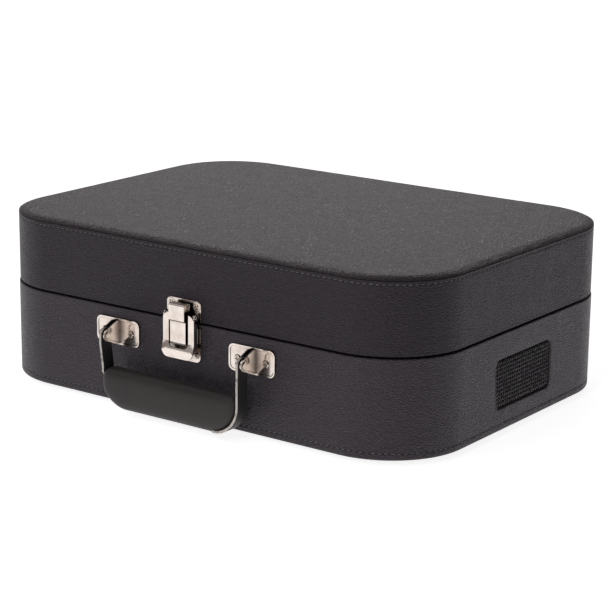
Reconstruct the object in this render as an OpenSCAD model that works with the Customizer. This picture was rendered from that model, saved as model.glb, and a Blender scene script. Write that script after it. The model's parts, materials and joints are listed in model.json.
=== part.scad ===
// Suitcase record player, closed for carrying. Millimetres, +Z up, front towards -Y.
// The origin is on the ground under the middle of the object's bounding box.

/* [Case] */
// Width of the case, side to side
case_w = 350; // [340:1:440]
// Depth of the case, front to back
case_d = 257; // [250:1:330]
// Height of the closed case, without its feet
case_h = 115; // [105:1:150]
// Corner radius of the case in plan
corner_r = 54.5; // [30:0.5:60]
// Height of the base half, up to its rim
base_h = 64.2; // [62:0.1:80]
// Gap between the base rim and the lid rim
seam_gap = 1; // [0.5:0.1:2]
// Thickness of the board that the case is made of
wall_t = 6; // [5:0.5:8]
// Thickness of the leatherette
skin_t = 0.8; // [0.5:0.1:1.2]
// How far the lid stands in from the base, all round
lid_inset = 0.5; // [0.3:0.1:1]
// Width of the leatherette turned under the base
turn_under = 8.5; // [8:0.1:9]
// Thickness of the padded cover on top of the lid
cover_t = 2.8; // [2:0.1:5]
// Thickness of the board under the padded cover
lid_board_t = 4; // [3:0.5:6]
// Thickness of the lining cloth inside the lid
lining_t = 0.8; // [0.5:0.1:1.5]
// Thickness of the bottom board
bottom_t = 4; // [3:0.5:6]
// Clearance round boards and plates that drop into the case
board_gap = 0.3; // [0.1:0.1:1]
// Size of the square glue blocks that join the boards
block_size = 12; // [10:1:16]

/* [Feet] */
// Height of a foot below the case
foot_h = 4; // [3:0.5:8]
// Radius of a foot
foot_r = 9; // [7:0.5:12]
// Distance of a foot's centre from the sides of the case
foot_from_side = 45; // [40:1:60]

/* [Speakers] */
// Width of the speaker opening
grille_w = 69; // [60:1:72]
// Height of the speaker opening
grille_h = 32.5; // [28:0.5:36]
// Height of the middle of the speaker opening above the case bottom
grille_z = 31.3; // [28:0.1:36]
// Corner radius of the speaker opening
grille_r = 5; // [3:0.5:8]
// Depth of the speaker cloth below the leatherette
cloth_depth = 0.4; // [0.1:0.1:0.6]
// Radius of a speaker magnet
magnet_r = 13; // [10:0.5:14]

/* [Latch] */
// Width of the latch base plate and of the strike plate
latch_w = 27.6; // [24:0.2:32]
// Thickness of the latch plates
latch_t = 0.7; // [0.5:0.1:1]
// Thickness of the lever's sheet metal
lever_t = 0.8; // [0.6:0.1:1]
// Height of the lever pivot above the base rim
lever_pivot_z = 4.6; // [4:0.1:5]
// Distance of the lever pivot from the front of the case
lever_pivot_out = 3; // [2.9:0.1:3.2]
// Distance of the hook pivot below the base rim
hook_pivot_z = 12.2; // [11:0.1:13]
// Distance of the hook pivot from the front of the case
hook_pivot_out = 3; // [2.8:0.1:3.2]
// Width of the hook
hook_w = 12.6; // [10:0.2:13]
// Radius of the latch rivets and pins
latch_pin_r = 0.9; // [0.7:0.05:1]

/* [Handle] */
// Distance of each bracket from the middle of the case
bracket_x = 55; // [50:0.5:70]
// Height of the handle pivot above the case bottom
handle_z = 48.5; // [46:0.5:56]
// Distance of the handle pivot from the front of the case
handle_out = 12.5; // [12:0.1:14]
// Width of a bracket plate
bracket_w = 36; // [30:0.5:40]
// Height of a bracket plate
bracket_h = 17.5; // [16:0.5:20]
// Thickness of the bracket sheet
bracket_t = 0.9; // [0.7:0.1:1.2]
// Offset of the ears from the middle of the bracket plate
ear_offset = 1; // [0:0.1:2]
// Width of the handle strap
strap_w = 10; // [8:0.5:11]
// Thickness of the handle strap
strap_t = 1.8; // [1.5:0.1:2.4]
// Distance of the strap's lowest edge below the handle pivot
handle_drop = 46.8; // [44:0.1:47]
// Outer radius of the strap's lower bends
strap_bend = 20; // [16:1:24]
// Height of the padded grip
grip_h = 25; // [20:0.5:28]
// Depth of the padded grip, front to back
grip_d = 13; // [11:0.5:14]
// Radius of the handle rivets
handle_rivet_r = 1.6; // [1.2:0.1:2]

/* [Hinges] */
// Distance of each hinge from the middle of the case
hinge_x = 95; // [70:1:110]
// Length of a hinge along its pin
hinge_len = 40; // [30:1:50]
// Distance of the hinge axis behind the base
hinge_out = 2.6; // [2.5:0.1:3]
// Radius of the hinge knuckles
knuckle_r = 2.4; // [2.2:0.1:2.5]
// Radius of the hinge pin
hinge_pin_r = 1.1; // [0.9:0.1:1.3]
// Height of a hinge leaf, from the axis
leaf_h = 18; // [14:0.5:22]
// Thickness of a hinge leaf
leaf_t = 1; // [0.8:0.1:1.2]

/* [Deck] */
// Height of the deck's top above the case bottom
deck_z = 54; // [52:0.5:56]
// Thickness of the deck plate
deck_t = 2.5; // [2:0.5:4]
// Radius of the platter
platter_r = 98; // [90:1:100]
// Height of the slip mat's top above the case bottom
mat_z = 65.6; // [65:0.1:68]
// Thickness of the slip mat
mat_t = 1.6; // [1:0.1:3]
// Thickness of the platter's disc
platter_t = 3.2; // [2.5:0.1:4]
// Distance of the drive boss's edge in from the platter's edge
ring_in = 24; // [20:1:30]
// Radius of the record spindle
spindle_r = 3.57; // [3.5:0.01:3.6]
// Height of the spindle above the slip mat
spindle_up = 10; // [8:0.5:12]
// Radius of the motor pulley's belt groove
pulley_r = 3.5; // [3:0.1:5]
// Distance of the motor's axis in from the platter's edge
motor_in = 10; // [9:0.5:12]
// Radius of the motor can
motor_r = 14; // [11:0.5:16]
// Height of the motor can
motor_h = 20; // [14:0.5:24]
// Width of the drive belt
belt_w = 3.6; // [3:0.1:4]
// Thickness of the drive belt
belt_t = 0.8; // [0.5:0.1:1]

/* [Tonearm] */
// Distance of the tonearm pivot from the right side of the case
arm_from_side = 57; // [55:1:70]
// Distance of the tonearm pivot from the back of the case
arm_from_back = 40.5; // [38:0.5:50]
// Distance from the tonearm pivot to the spindle, side to side
spindle_dx = 168; // [160:1:170]
// Distance from the tonearm pivot to the spindle, front to back
spindle_dy = 90; // [86:1:92]
// Distance from the tonearm pivot to the stylus
arm_len = 190; // [185:1:192]
// Height of the arm tube above the slip mat
arm_up = 13.4; // [12.5:0.1:16]
// Radius of the arm tube
tube_r = 4; // [3:0.5:5]
// Radius of the arm pivot pin
arm_pin_r = 1.5; // [1:0.1:2]
// Radius of the yoke's upright stub
yoke_stub_r = 4; // [3:0.5:5]
// Distance from the tonearm pivot to the arm rest
rest_dist = 133; // [120:1:140]
// Distance from the tonearm pivot to the lift bar
lift_dist = 45; // [40:1:50]
// Radius of the lift post
lift_post_r = 2; // [1.5:0.1:3]

/* [Controls] */
// Radius of the volume knob
knob_r = 9.5; // [8:0.5:11]
// Height of the volume knob above the deck
knob_h = 10; // [8:0.5:11]
// Radius of the speed selector
selector_r = 8; // [6:0.5:9]
// Radius of the 45 adapter
adapter_r = 19; // [18:0.5:19.5]

/* [Sockets] */
// How far the phono sockets stand out of the back of the case
rca_out = 11; // [9:0.5:13]
// Width of the socket plate
socket_w = 84; // [80:1:100]
// Height of the socket plate
socket_h = 26; // [24:1:32]
// Height of the middle of the socket plate above the case bottom
socket_z = 30; // [28:1:34]
// Radius of a phono socket's outer contact
rca_r = 4.15; // [4:0.05:4.3]
// Radius of the audio input bore
aux_r = 1.8; // [1.75:0.01:1.9]
// Radius of the power inlet's centre pin
dc_pin_r = 1.05; // [1:0.05:1.3]

/* [Fits] */
// Radial clearance of a pin that turns in its bore
run_gap = 0.05; // [0.02:0.01:0.1]
// Clearance between pieces that pass each other
pass_gap = 0.3; // [0.2:0.1:0.5]
// Radial clearance of a screw in its hole
screw_gap = 0.1; // [0.05:0.05:0.2]

/* [Hidden] */
$fn = 64;
e = 0.01;
base_z0 = foot_h;
base_z1 = foot_h + base_h;
lid_z0 = base_z1 + seam_gap;
lid_z1 = foot_h + case_h;
seam_z = base_z1 + seam_gap / 2;
band_z1 = lid_z1 - cover_t;
back_out = max(hinge_out + knuckle_r, rca_out);
front_out = handle_out + grip_d / 2;
case_dy = (front_out - back_out) / 2;
wall_in = skin_t + wall_t;
panel_in = wall_in + board_gap;
deck_top = foot_h + deck_z;
deck_under = deck_top - deck_t;
floor_top = base_z0 + skin_t + bottom_t;
arm_x = case_w / 2 - arm_from_side;
arm_y = case_d / 2 - arm_from_back;
platter_x = arm_x - spindle_dx;
platter_y = arm_y - spindle_dy;
mat_top = foot_h + mat_z;
platter_top = mat_top - mat_t;
platter_low = platter_top - platter_t;
ring_low = deck_top + 1.2;
journal_r = spindle_r + 0.6;
belt_z = ring_low + 1;
belt_gap = 0.3;
ring_r = platter_r - ring_in;
motor_dist = platter_r - motor_in;
motor_x = platter_x - motor_dist * cos(45);
motor_y = platter_y - motor_dist * sin(45);
arm_z = mat_top + arm_up;
tip_z = mat_top + 1.5;
volume_x = arm_x - 34;
volume_y = -case_d / 2 + 42.5;
selector_x = arm_x - 22;
selector_y = arm_y - 66;
stop_x = arm_x - 22;
stop_y = arm_y - 96;
adapter_x = -case_w / 2 + 42;
adapter_y = case_d / 2 - 36.5;
cue_x = arm_x + 22;
cue_y = arm_y - lift_dist + 7;
cue_z = deck_top + 8;
lift_turn = 8;
lift_x = arm_x - lift_dist * sin(lift_turn);
lift_y = arm_y - lift_dist * cos(lift_turn);
rest_y = arm_y - rest_dist;
board_x = volume_x - 6;
board_y = volume_y + 8;
board_z = deck_under - 15;
board_half_w = 40;
board_half_d = 28;
board_post_in = 4;
board_t = 1.6;
block_x = case_w / 2 - 80;
block_y = case_d / 2 - 70;
foot_x = case_w / 2 - foot_from_side;
foot_y = case_d / 2 - foot_from_side;
wood_screw_r = 1.5;
metal_screw_r = 1.1;
rivet_head_h = 0.5;
ear_t = 1.1;
ear_r = 4;
ear_gap = strap_t + 2 * pass_gap;
knuckles = 5;
knuckle_gap = 0.3;

// Everything is drawn about the middle of the case and then set over the origin.
module place() {
    translate([0, case_dy, 0]) children();
}

// Rectangle with round corners, centred.
module round_rect(w, d, r) {
    square([w - 2 * r, d], center = true);
    square([w, d - 2 * r], center = true);
    for (x = [-1, 1], y = [-1, 1]) {
        translate([x * (w / 2 - r), y * (d / 2 - r)]) circle(r);
    }
}

// Upright prism on the case's plan, drawn in by inset.
module plan(inset, z0, z1) {
    translate([0, 0, z0])
        linear_extrude(z1 - z0) round_rect(case_w - 2 * inset, case_d - 2 * inset, corner_r - inset);
}

module rod(r, z0, z1) {
    translate([0, 0, z0]) cylinder(h = z1 - z0, r = r);
}

module rod_x(r, x0, x1) {
    translate([x0, 0, 0]) rotate([0, 90, 0]) cylinder(h = x1 - x0, r = r);
}

module rod_y(r, y0, y1) {
    translate([0, y1, 0]) rotate([90, 0, 0]) cylinder(h = y1 - y0, r = r);
}

module block(x0, x1, y0, y1, z0, z1) {
    translate([x0, y0, z0]) cube([x1 - x0, y1 - y0, z1 - z0]);
}

// Extrudes a profile drawn as (y, z) from x0 to x1.
module along_x(x0, x1) {
    translate([x0, 0, 0]) rotate([90, 0, 90]) linear_extrude(x1 - x0) children();
}

// Local x is right, y is up and z is outwards on the front of the case.
module on_front(x, z, out = 0) {
    translate([x, -case_d / 2 - out, z]) rotate([90, 0, 0]) children();
}

// Local z is outwards on the back of the case.
module on_rear(x, z, out = 0) {
    translate([x, case_d / 2 + out, z]) rotate([-90, 0, 0]) children();
}

// Both sides of the case, with local z outwards and local y up.
module on_side(side, out = 0) {
    translate([side * (case_w / 2 + out), 0, foot_h + grille_z]) rotate([90, 0, side * 90]) children();
}

// Screw with a cross recess, its seat at z 0 and its shank below.
module screw(head_r, head_h, shank_r, shank_len) {
    difference() {
        union() {
            cylinder(h = head_h, r1 = head_r, r2 = head_r * 0.75);
            rod(shank_r, -shank_len, e);
        }
        for (a = [0, 90]) {
            rotate([0, 0, a])
                block(-head_r * 0.55, head_r * 0.55, -head_r * 0.12, head_r * 0.12, head_h * 0.4, head_h + e);
        }
    }
}

module screw_hole(shank_r, depth) {
    rod(shank_r + screw_gap, -depth, 1);
}

// Places of the fasteners.
module at_glue_blocks() {
    for (x = [-1, 1], y = [-1, 1]) {
        translate([x * block_x, y * (case_d / 2 - panel_in - block_size / 2), 0]) children();
        translate([x * (case_w / 2 - panel_in - block_size / 2), y * block_y, 0]) children();
    }
}

module at_feet() {
    for (x = [-1, 1], y = [-1, 1]) {
        translate([x * foot_x, y * foot_y, 0]) children();
    }
}

module at_bracket_screws() {
    for (s = [-1, 1], x = [-11, 11]) {
        on_front(s * bracket_x + x, foot_h + handle_z - 0.5, bracket_t) children();
    }
}

module at_latch_plate_screws() {
    for (x = [-1, 1]) {
        on_front(x * (latch_w / 2 - 2.6), base_z1 - 20.5, latch_t) children();
    }
}

module at_strike_screws() {
    for (x = [-1, 1]) {
        on_front(x * 10.2, base_z1 + 11.3, latch_t - lid_inset) children();
    }
}

module at_base_leaf_screws() {
    for (s = [-1, 1], x = [-13, 0, 13]) {
        on_rear(s * hinge_x + x, seam_z - leaf_h * 0.62, leaf_t) children();
    }
}

module at_lid_leaf_screws() {
    for (s = [-1, 1], x = [-13, 0, 13]) {
        on_rear(s * hinge_x + x, seam_z + leaf_h * 0.62, leaf_t - lid_inset) children();
    }
}

module at_socket_screws() {
    for (s = [-1, 1]) {
        on_rear(s * (socket_w / 2 - 4), foot_h + socket_z, 1.2) children();
    }
}

// Base of the case ---------------------------------------------------------

module side_openings(grow, depth) {
    for (side = [-1, 1]) {
        on_side(side, -depth)
            linear_extrude(depth + 1) round_rect(grille_w + 2 * grow, grille_h + 2 * grow, grille_r + grow);
    }
}

module socket_opening(grow) {
    on_rear(0, foot_h + socket_z, -wall_in - 1)
        linear_extrude(wall_in + 2) round_rect(socket_w - 16 + 2 * grow, socket_h - 6 + 2 * grow, 3);
}

module front_rear_screw_holes() {
    at_bracket_screws() screw_hole(wood_screw_r, 6.5);
    at_latch_plate_screws() screw_hole(metal_screw_r, 5);
    at_base_leaf_screws() screw_hole(metal_screw_r, 5.5);
    at_socket_screws() screw_hole(metal_screw_r, 5.5);
}

module base_frame() {
    half = block_size / 2 + board_gap + 0.1;
    color("tan") place() difference() {
        union() {
            difference() {
                plan(skin_t, base_z0 + skin_t, base_z1 - skin_t);
                plan(wall_in, base_z0, base_z1);
            }
            at_glue_blocks() block(-half, half, -half, half, floor_top, deck_under);
        }
        side_openings(0, wall_in + 1);
        socket_opening(0);
        front_rear_screw_holes();
        at_glue_blocks() rod(wood_screw_r + screw_gap, deck_under - 12, deck_under + e);
        at_glue_blocks() rod(wood_screw_r + screw_gap, floor_top - e, floor_top + 12);
    }
}

module base_leatherette() {
    color([0.22, 0.21, 0.22]) place() difference() {
        plan(0, base_z0, base_z1);
        plan(skin_t, base_z0 + skin_t, base_z1 - skin_t);
        plan(wall_in, base_z0 + skin_t + 1, base_z1 + 1);
        plan(turn_under, base_z0 - 1, base_z0 + skin_t + 2);
        side_openings(0, wall_in + 1);
        socket_opening(0);
        front_rear_screw_holes();
    }
}

module bottom_panel() {
    color("burlywood") place() difference() {
        plan(panel_in, base_z0 + skin_t, floor_top);
        at_glue_blocks() rod(wood_screw_r + screw_gap, base_z0, floor_top + e);
        at_feet() rod(wood_screw_r + screw_gap, base_z0, floor_top + e);
    }
}

// Countersunk into the feet and the bottom board, heads down.
module underside_screws() {
    color("silver") place() {
        at_glue_blocks()
            translate([0, 0, base_z0 + skin_t]) mirror([0, 0, 1])
                screw(3, 0.7, wood_screw_r, bottom_t + 10);
        at_feet() translate([0, 0, 1.8]) mirror([0, 0, 1])
            screw(3, 1, wood_screw_r, foot_h + skin_t - 1.8 + bottom_t - 0.3);
    }
}

module rubber_feet() {
    color([0.12, 0.12, 0.12]) place() at_feet() difference() {
        union() {
            translate([0, 0, 1]) cylinder(h = foot_h + skin_t - 1, r = foot_r);
            cylinder(h = 1 + e, r1 = foot_r - 1, r2 = foot_r);
        }
        rod(3.4, -1, 1.8);
        rod(wood_screw_r + screw_gap, 0, foot_h + skin_t + 1);
    }
}

// Deck ---------------------------------------------------------------------

module at_board_posts() {
    for (x = [-1, 1], y = [-1, 1]) {
        translate([board_x + x * (board_half_w - board_post_in), board_y + y * (board_half_d - board_post_in), 0])
            children();
    }
}

module deck_plate() {
    color([0.15, 0.15, 0.16]) place() difference() {
        union() {
            plan(panel_in, deck_under, deck_top);
            at_board_posts() rod(2.5, board_z + board_t, deck_under + e);
            translate([adapter_x, adapter_y, 0]) rod(3.4, deck_top - e, deck_top + 3);
        }
        at_glue_blocks() rod(wood_screw_r + screw_gap, deck_under - 1, deck_top + 1);
        translate([platter_x, platter_y, 0]) rod(6, deck_under - 1, deck_top + 1);
        translate([motor_x, motor_y, 0]) rod(6.5, deck_under - 1, deck_top + 1);
        translate([arm_x, arm_y, 0]) rod(10, deck_under - 1, deck_top + 1);
        translate([volume_x, volume_y, 0]) rod(3 + run_gap, deck_under - 1, deck_top + 1);
        translate([selector_x, selector_y, 0]) rod(2.5 + run_gap, deck_under - 1, deck_top + 1);
        block(stop_x - 1.5, stop_x + 1.5, stop_y - 6.5, stop_y + 6.5, deck_under - 1, deck_top + 1);
        block(stop_x - 5, stop_x + 5, stop_y - 10, stop_y + 10, deck_top - 0.8, deck_top + 1);
    }
}

module deck_screws() {
    color("silver") place() at_glue_blocks() translate([0, 0, deck_top])
        screw(3, 1, wood_screw_r, deck_t + 10);
}

// Racetrack speaker behind a grille, its front flange against the board.
module speaker(side) {
    place() on_side(side, -wall_in) mirror([0, 0, 1]) difference() {
        union() {
            linear_extrude(2) round_rect(grille_w + 5, grille_h + 7, 6);
            linear_extrude(8) round_rect(grille_w - 9, grille_h - 3, 14);
            linear_extrude(13) round_rect(grille_w - 25, grille_h - 7, 12);
            rod(magnet_r, 12, 21);
        }
        rod(magnet_r - 1, -1, 6);
        translate([0, 0, -1]) linear_extrude(3) round_rect(grille_w - 13, grille_h - 7, 12);
    }
}

module left_speaker() {
    color([0.18, 0.18, 0.2]) speaker(-1);
}

module right_speaker() {
    color([0.18, 0.18, 0.2]) speaker(1);
}

module grille(side) {
    place() on_side(side, -cloth_depth - 1.2)
        linear_extrude(1.2) round_rect(grille_w - 0.2, grille_h - 0.2, grille_r - 0.1);
}

module left_grille() {
    color([0.08, 0.08, 0.08]) grille(-1);
}

module right_grille() {
    color([0.08, 0.08, 0.08]) grille(1);
}

module circuit_board() {
    color("darkgreen") place() {
        difference() {
            union() {
                block(board_x - board_half_w, board_x + board_half_w, board_y - board_half_d, board_y + board_half_d,
                      board_z, board_z + board_t);
                block(volume_x - 8, volume_x + 8, volume_y - 8, volume_y + 8, board_z + board_t - e, board_z + 8);
                block(board_x - 34, board_x - 20, board_y - 8, board_y + 8, board_z + board_t - e, board_z + 5);
                for (x = [-10, 0, 26]) {
                    translate([board_x + x, board_y + 16, 0]) rod(4, board_z + board_t - e, board_z + 11);
                }
            }
            translate([volume_x, volume_y, 0]) rod(3 + run_gap, board_z + 4, board_z + 9);
        }
    }
}

// Flat leads from the board, laid square to the case along points that differ in one direction at a time.
module lead(points) {
    half = 0.9;
    for (i = [0 : len(points) - 2]) {
        a = points[i];
        b = points[i + 1];
        block(
            min(a.x, b.x) - half, max(a.x, b.x) + half, min(a.y, b.y) - half, max(a.y, b.y) + half,
            min(a.z, b.z) - half, max(a.z, b.z) + half
        );
    }
}

module wiring() {
    low = floor_top + 3;
    mid = board_z - 1;
    speaker_x = case_w / 2 - wall_in - 22;
    speaker_z = foot_h + grille_z;
    socket_y = case_d / 2 - 13;
    color("firebrick") place() {
        lead([
            [board_x + 34, board_y + 12, mid], [board_x + 34, board_y + 12, low],
            [speaker_x - 6, board_y + 12, low], [speaker_x - 6, 0, low],
            [speaker_x - 6, 0, speaker_z], [speaker_x, 0, speaker_z]
        ]);
        lead([
            [board_x - 36, board_y + 12, mid], [board_x - 36, board_y + 12, low],
            [6 - speaker_x, board_y + 12, low], [6 - speaker_x, 0, low],
            [6 - speaker_x, 0, speaker_z], [-speaker_x, 0, speaker_z]
        ]);
        lead([
            [board_x - 20, board_y + 20, mid], [board_x - 20, board_y + 20, low + 4],
            [8, board_y + 20, low + 4], [8, socket_y - 12, low + 4],
            [8, socket_y - 12, foot_h + socket_z], [8, socket_y, foot_h + socket_z]
        ]);
        lead([
            [board_x - 36, board_y - 14, mid], [board_x - 36, board_y - 14, low + 4],
            [motor_x, board_y - 14, low + 4], [motor_x, motor_y, low + 4],
            [motor_x, motor_y, deck_under - motor_h - 1]
        ]);
    }
}

module rear_socket_plate() {
    color([0.1, 0.1, 0.1]) place() difference() {
        on_rear(0, foot_h + socket_z) linear_extrude(1.2) round_rect(socket_w, socket_h, 4);
        at_socket_screws() screw_hole(metal_screw_r, 3);
        for (x = [-25, -11]) {
            on_rear(x, foot_h + socket_z) rod(3.6, -1, 3);
        }
        on_rear(8, foot_h + socket_z) rod(3.1, -1, 3);
        on_rear(25, foot_h + socket_z) rod(4.1, -1, 3);
    }
}

module audio_sockets() {
    color("gold") place() {
        for (x = [-25, -11]) {
            on_rear(x, foot_h + socket_z) difference() {
                union() {
                    rod(3.5, -8, 1.2 + e);
                    rod(5.5, 1.2, 3);
                    rod(rca_r, 3 - e, rca_out);
                }
                rod(1.6, 2, rca_out + 1);
            }
        }
        on_rear(8, foot_h + socket_z) difference() {
            union() {
                rod(3, -12, 1.2 + e);
                rod(4, 1.2, 2.4);
            }
            rod(aux_r, -10, 3);
        }
    }
}

module power_inlet() {
    color([0.05, 0.05, 0.05]) place() on_rear(25, foot_h + socket_z) {
        difference() {
            union() {
                rod(4, -12, 1.2 + e);
                rod(5, 1.2, 2.4);
            }
            rod(2.8, -9, 3);
        }
        rod(dc_pin_r, -9 - e, 1);
    }
}

// Drive --------------------------------------------------------------------

module platter_spindle() {
    tip_h = 1.5;
    color("silver") place() translate([platter_x, platter_y, 0]) {
        rod(journal_r, deck_under - 10, mat_top);
        rod(spindle_r, mat_top - e, mat_top + spindle_up - tip_h);
        translate([0, 0, mat_top + spindle_up - tip_h]) cylinder(h = tip_h, r1 = spindle_r, r2 = spindle_r * 0.55);
        rod(9, deck_top, deck_top + 0.9);
        rod(5.8, deck_under - 4, deck_top + e);
        rod(8.5, deck_under - 4, deck_under);
    }
}

module motor() {
    color("gainsboro") place() translate([motor_x, motor_y, 0]) difference() {
        union() {
            rod(motor_r, deck_under - motor_h, deck_under);
            rod(5, deck_under - e, deck_top);
        }
        rod(1 + run_gap, deck_under - 8, deck_top + 1);
    }
}

module motor_pulley() {
    low = belt_z - 0.8;
    high = belt_z + belt_w + 0.2;
    color("goldenrod") place() translate([motor_x, motor_y, 0]) {
        rod(1, deck_under - 7.5, high);
        rod(pulley_r, low, high);
        rod(pulley_r + 1.3, low, belt_z - 0.3);
    }
}

module belt_outline(grow) {
    hull() {
        circle(ring_r + grow, $fn = 180);
        rotate(225) translate([motor_dist, 0]) circle(pulley_r + grow, $fn = 48);
    }
}

module drive_belt() {
    color([0.1, 0.1, 0.1]) place() translate([platter_x, platter_y, belt_z])
        linear_extrude(belt_w) difference() {
            belt_outline(belt_gap + belt_t);
            belt_outline(belt_gap);
        }
}

module platter() {
    color([0.2, 0.2, 0.21]) place() translate([platter_x, platter_y, 0]) difference() {
        union() {
            rod(platter_r - 0.8, platter_low, platter_top - 0.8 + e);
            translate([0, 0, platter_top - 0.8]) cylinder(h = 0.8, r1 = platter_r, r2 = platter_r - 0.8);
            difference() {
                rod(platter_r, deck_top + 3, platter_top - 0.8);
                rod(platter_r - 3, deck_top, platter_low + e);
            }
            rod(ring_r, ring_low, platter_low + e);
        }
        rod(journal_r + run_gap, deck_top, mat_top);
    }
}

module slip_mat() {
    color([0.16, 0.16, 0.16]) place() translate([platter_x, platter_y, 0]) difference() {
        rod(platter_r - 3.5, platter_top, mat_top);
        rod(journal_r + 0.3, platter_top - 1, mat_top + 1);
    }
}

// Latch --------------------------------------------------------------------

// Profiles are drawn as (y, z), with y 0 on the front of the case and z 0 at the base rim.
module latch_profile(x0, x1) {
    translate([0, -case_d / 2, base_z1]) along_x(x0, x1) children();
}

// Upright slab on the front: w wide, from z0 to z1, from out0 to out1.
module latch_slab(w, z0, z1, out0, out1, r) {
    on_front(0, base_z1 + (z0 + z1) / 2, out0)
        linear_extrude(out1 - out0) round_rect(w, z1 - z0, r);
}

module latch_plate() {
    ear_reach = 1.7;
    color([0.86, 0.82, 0.78]) place() difference() {
        union() {
            latch_slab(latch_w, -25.2, -0.7, 0, latch_t, 3.5);
            for (s = [-1, 1]) {
                latch_profile(s * 10.9 - 0.5, s * 10.9 + 0.5) union() {
                    polygon([
                        [-0.3, -9.5], [-0.3, -1.2], [ear_reach - lever_pivot_out, lever_pivot_z],
                        [-lever_pivot_out - ear_reach, lever_pivot_z], [-3.2, -9.5]
                    ]);
                    translate([-lever_pivot_out, lever_pivot_z]) circle(ear_reach);
                }
            }
        }
        at_latch_plate_screws() screw_hole(metal_screw_r, 3);
        translate([0, -case_d / 2 - lever_pivot_out, base_z1 + lever_pivot_z])
            rod_x(latch_pin_r + run_gap, -12, 12);
    }
}

module latch_rivets() {
    color([0.8, 0.77, 0.72]) place()
        for (s = [0, 1]) {
            mirror([s, 0, 0])
                translate([0, -case_d / 2 - lever_pivot_out, base_z1 + lever_pivot_z]) {
                    rod_x(latch_pin_r, 9.8, 13.1);
                    rod_x(1.5, 9.7, 10.3);
                    rod_x(1.5, 12.8, 13.3);
                }
        }
}

// Sheet frame with a flared lip, open towards the top round the hook.
module latch_lever() {
    out = 5;
    color([0.88, 0.84, 0.8]) place() difference() {
        union() {
            intersection() {
                latch_profile(-13.5, 13.5) polygon([
                    [-out, 6.2], [-out - lever_t, 6.2], [-out - lever_t, -12.2], [-7.5, -18.5],
                    [-7.5, -22.8], [-7.5 + lever_t, -22.8], [-7.5 + lever_t, -18.4], [-out, -12.1]
                ]);
                difference() {
                    on_front(0, base_z1 - 8.3) linear_extrude(12) round_rect(25.2, 29, 5);
                    on_front(0, base_z1 - 5.2) linear_extrude(12) round_rect(16, 22, 3.5);
                    on_front(0, base_z1 + 3) linear_extrude(12) round_rect(16, 12, 1);
                }
            }
            for (s = [-1, 1]) {
                latch_profile(s * 12.2 - 0.4, s * 12.2 + 0.4) union() {
                    polygon([
                        [-1.7, 3.6], [-out - lever_t + 0.1, 3.6], [-out - lever_t + 0.1, -12.2],
                        [-7, -17], [-6.6, -18], [-5, -16.5], [-1.7, -12]
                    ]);
                    translate([-lever_pivot_out, lever_pivot_z]) circle(2.3);
                }
                latch_profile(s * 8.5 - 0.5, s * 8.5 + 0.5) union() {
                    polygon([
                        [-out - lever_t + 0.1, -9.5], [-out - lever_t + 0.1, -12.2],
                        [-out + 0.2, -15], [-hook_pivot_out, -hook_pivot_z - 1.7], [-hook_pivot_out, -hook_pivot_z + 1.7]
                    ]);
                    translate([-hook_pivot_out, -hook_pivot_z]) circle(1.8);
                }
            }
        }
        translate([0, -case_d / 2 - lever_pivot_out, base_z1 + lever_pivot_z])
            rod_x(latch_pin_r + run_gap, -14, 14);
        translate([0, -case_d / 2 - hook_pivot_out, base_z1 - hook_pivot_z])
            rod_x(latch_pin_r, -10, 10);
    }
}

module latch_hook_pin() {
    color([0.8, 0.77, 0.72]) place()
        translate([0, -case_d / 2 - hook_pivot_out, base_z1 - hook_pivot_z])
            rod_x(latch_pin_r, -9.3, 9.3);
}

module latch_hook() {
    half = hook_w / 2;
    color([0.9, 0.86, 0.82]) place() difference() {
        union() {
            latch_profile(-half, half) union() {
                translate([-hook_pivot_out, -hook_pivot_z]) circle(1.9);
                polygon([[-hook_pivot_out, -13.9], [-5.3, -13.6], [-5.3, -10.4], [-hook_pivot_out, -10.3]]);
                polygon([[-5.2, -14.2], [-6.5, -12.6], [-6.5, 1.2], [-6.3, 1.4], [-5.2, 1.4]]);
            }
            latch_profile(-half + 1, half - 1)
                polygon([[-5.3, -12], [-4.4, -12], [-4.4, 3], [-5.3, 3]]);
            latch_profile(-half, half)
                polygon([[-4.4, 2], [-7.7, 2], [-8, 2.3], [-8, 11.8], [-7, 12.8], [-4.4, 12.8]]);
            latch_profile(-half, half)
                polygon([[-1.9, 11.8], [-4.5, 11.8], [-4.5, 12.8], [-2.2, 12.8], [-1.9, 12.5]]);
            for (s = [-1, 1]) {
                latch_profile(s * (half - 0.4) - 0.4, s * (half - 0.4) + 0.4)
                    polygon([[-1.9, 9.5], [-4.5, 4], [-4.5, 12], [-1.9, 12]]);
            }
        }
        translate([0, -case_d / 2 - hook_pivot_out, base_z1 - hook_pivot_z])
            rod_x(latch_pin_r + run_gap, -10, 10);
    }
}

module latch_strike() {
    face = -lid_inset;
    color([0.86, 0.82, 0.78]) place() difference() {
        union() {
            latch_slab(latch_w, seam_gap + 0.2, 14.8, face, face + latch_t, 3.2);
            latch_slab(latch_w, seam_gap + 0.2, 8, face, face + latch_t, 1);
            latch_slab(9, 7.8, 9.6, face + latch_t - e, face + latch_t + 0.8, 0.8);
            at_strike_screws() rod(3.1, -latch_t, 0.25);
        }
        at_strike_screws() screw_hole(metal_screw_r, 3);
        on_front(-0.5, base_z1 + 13.3, -3) linear_extrude(6) round_rect(5, 1.3, 0.64);
    }
}

// Handle -------------------------------------------------------------------

module ear_profile() {
    polygon([
        [-bracket_t + e, -7.8], [-4, -7.8], [-handle_out, -ear_r], [-handle_out, ear_r],
        [-4, 7.7], [-bracket_t + e, 7.7]
    ]);
    translate([-handle_out, 0]) circle(ear_r);
}

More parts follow.
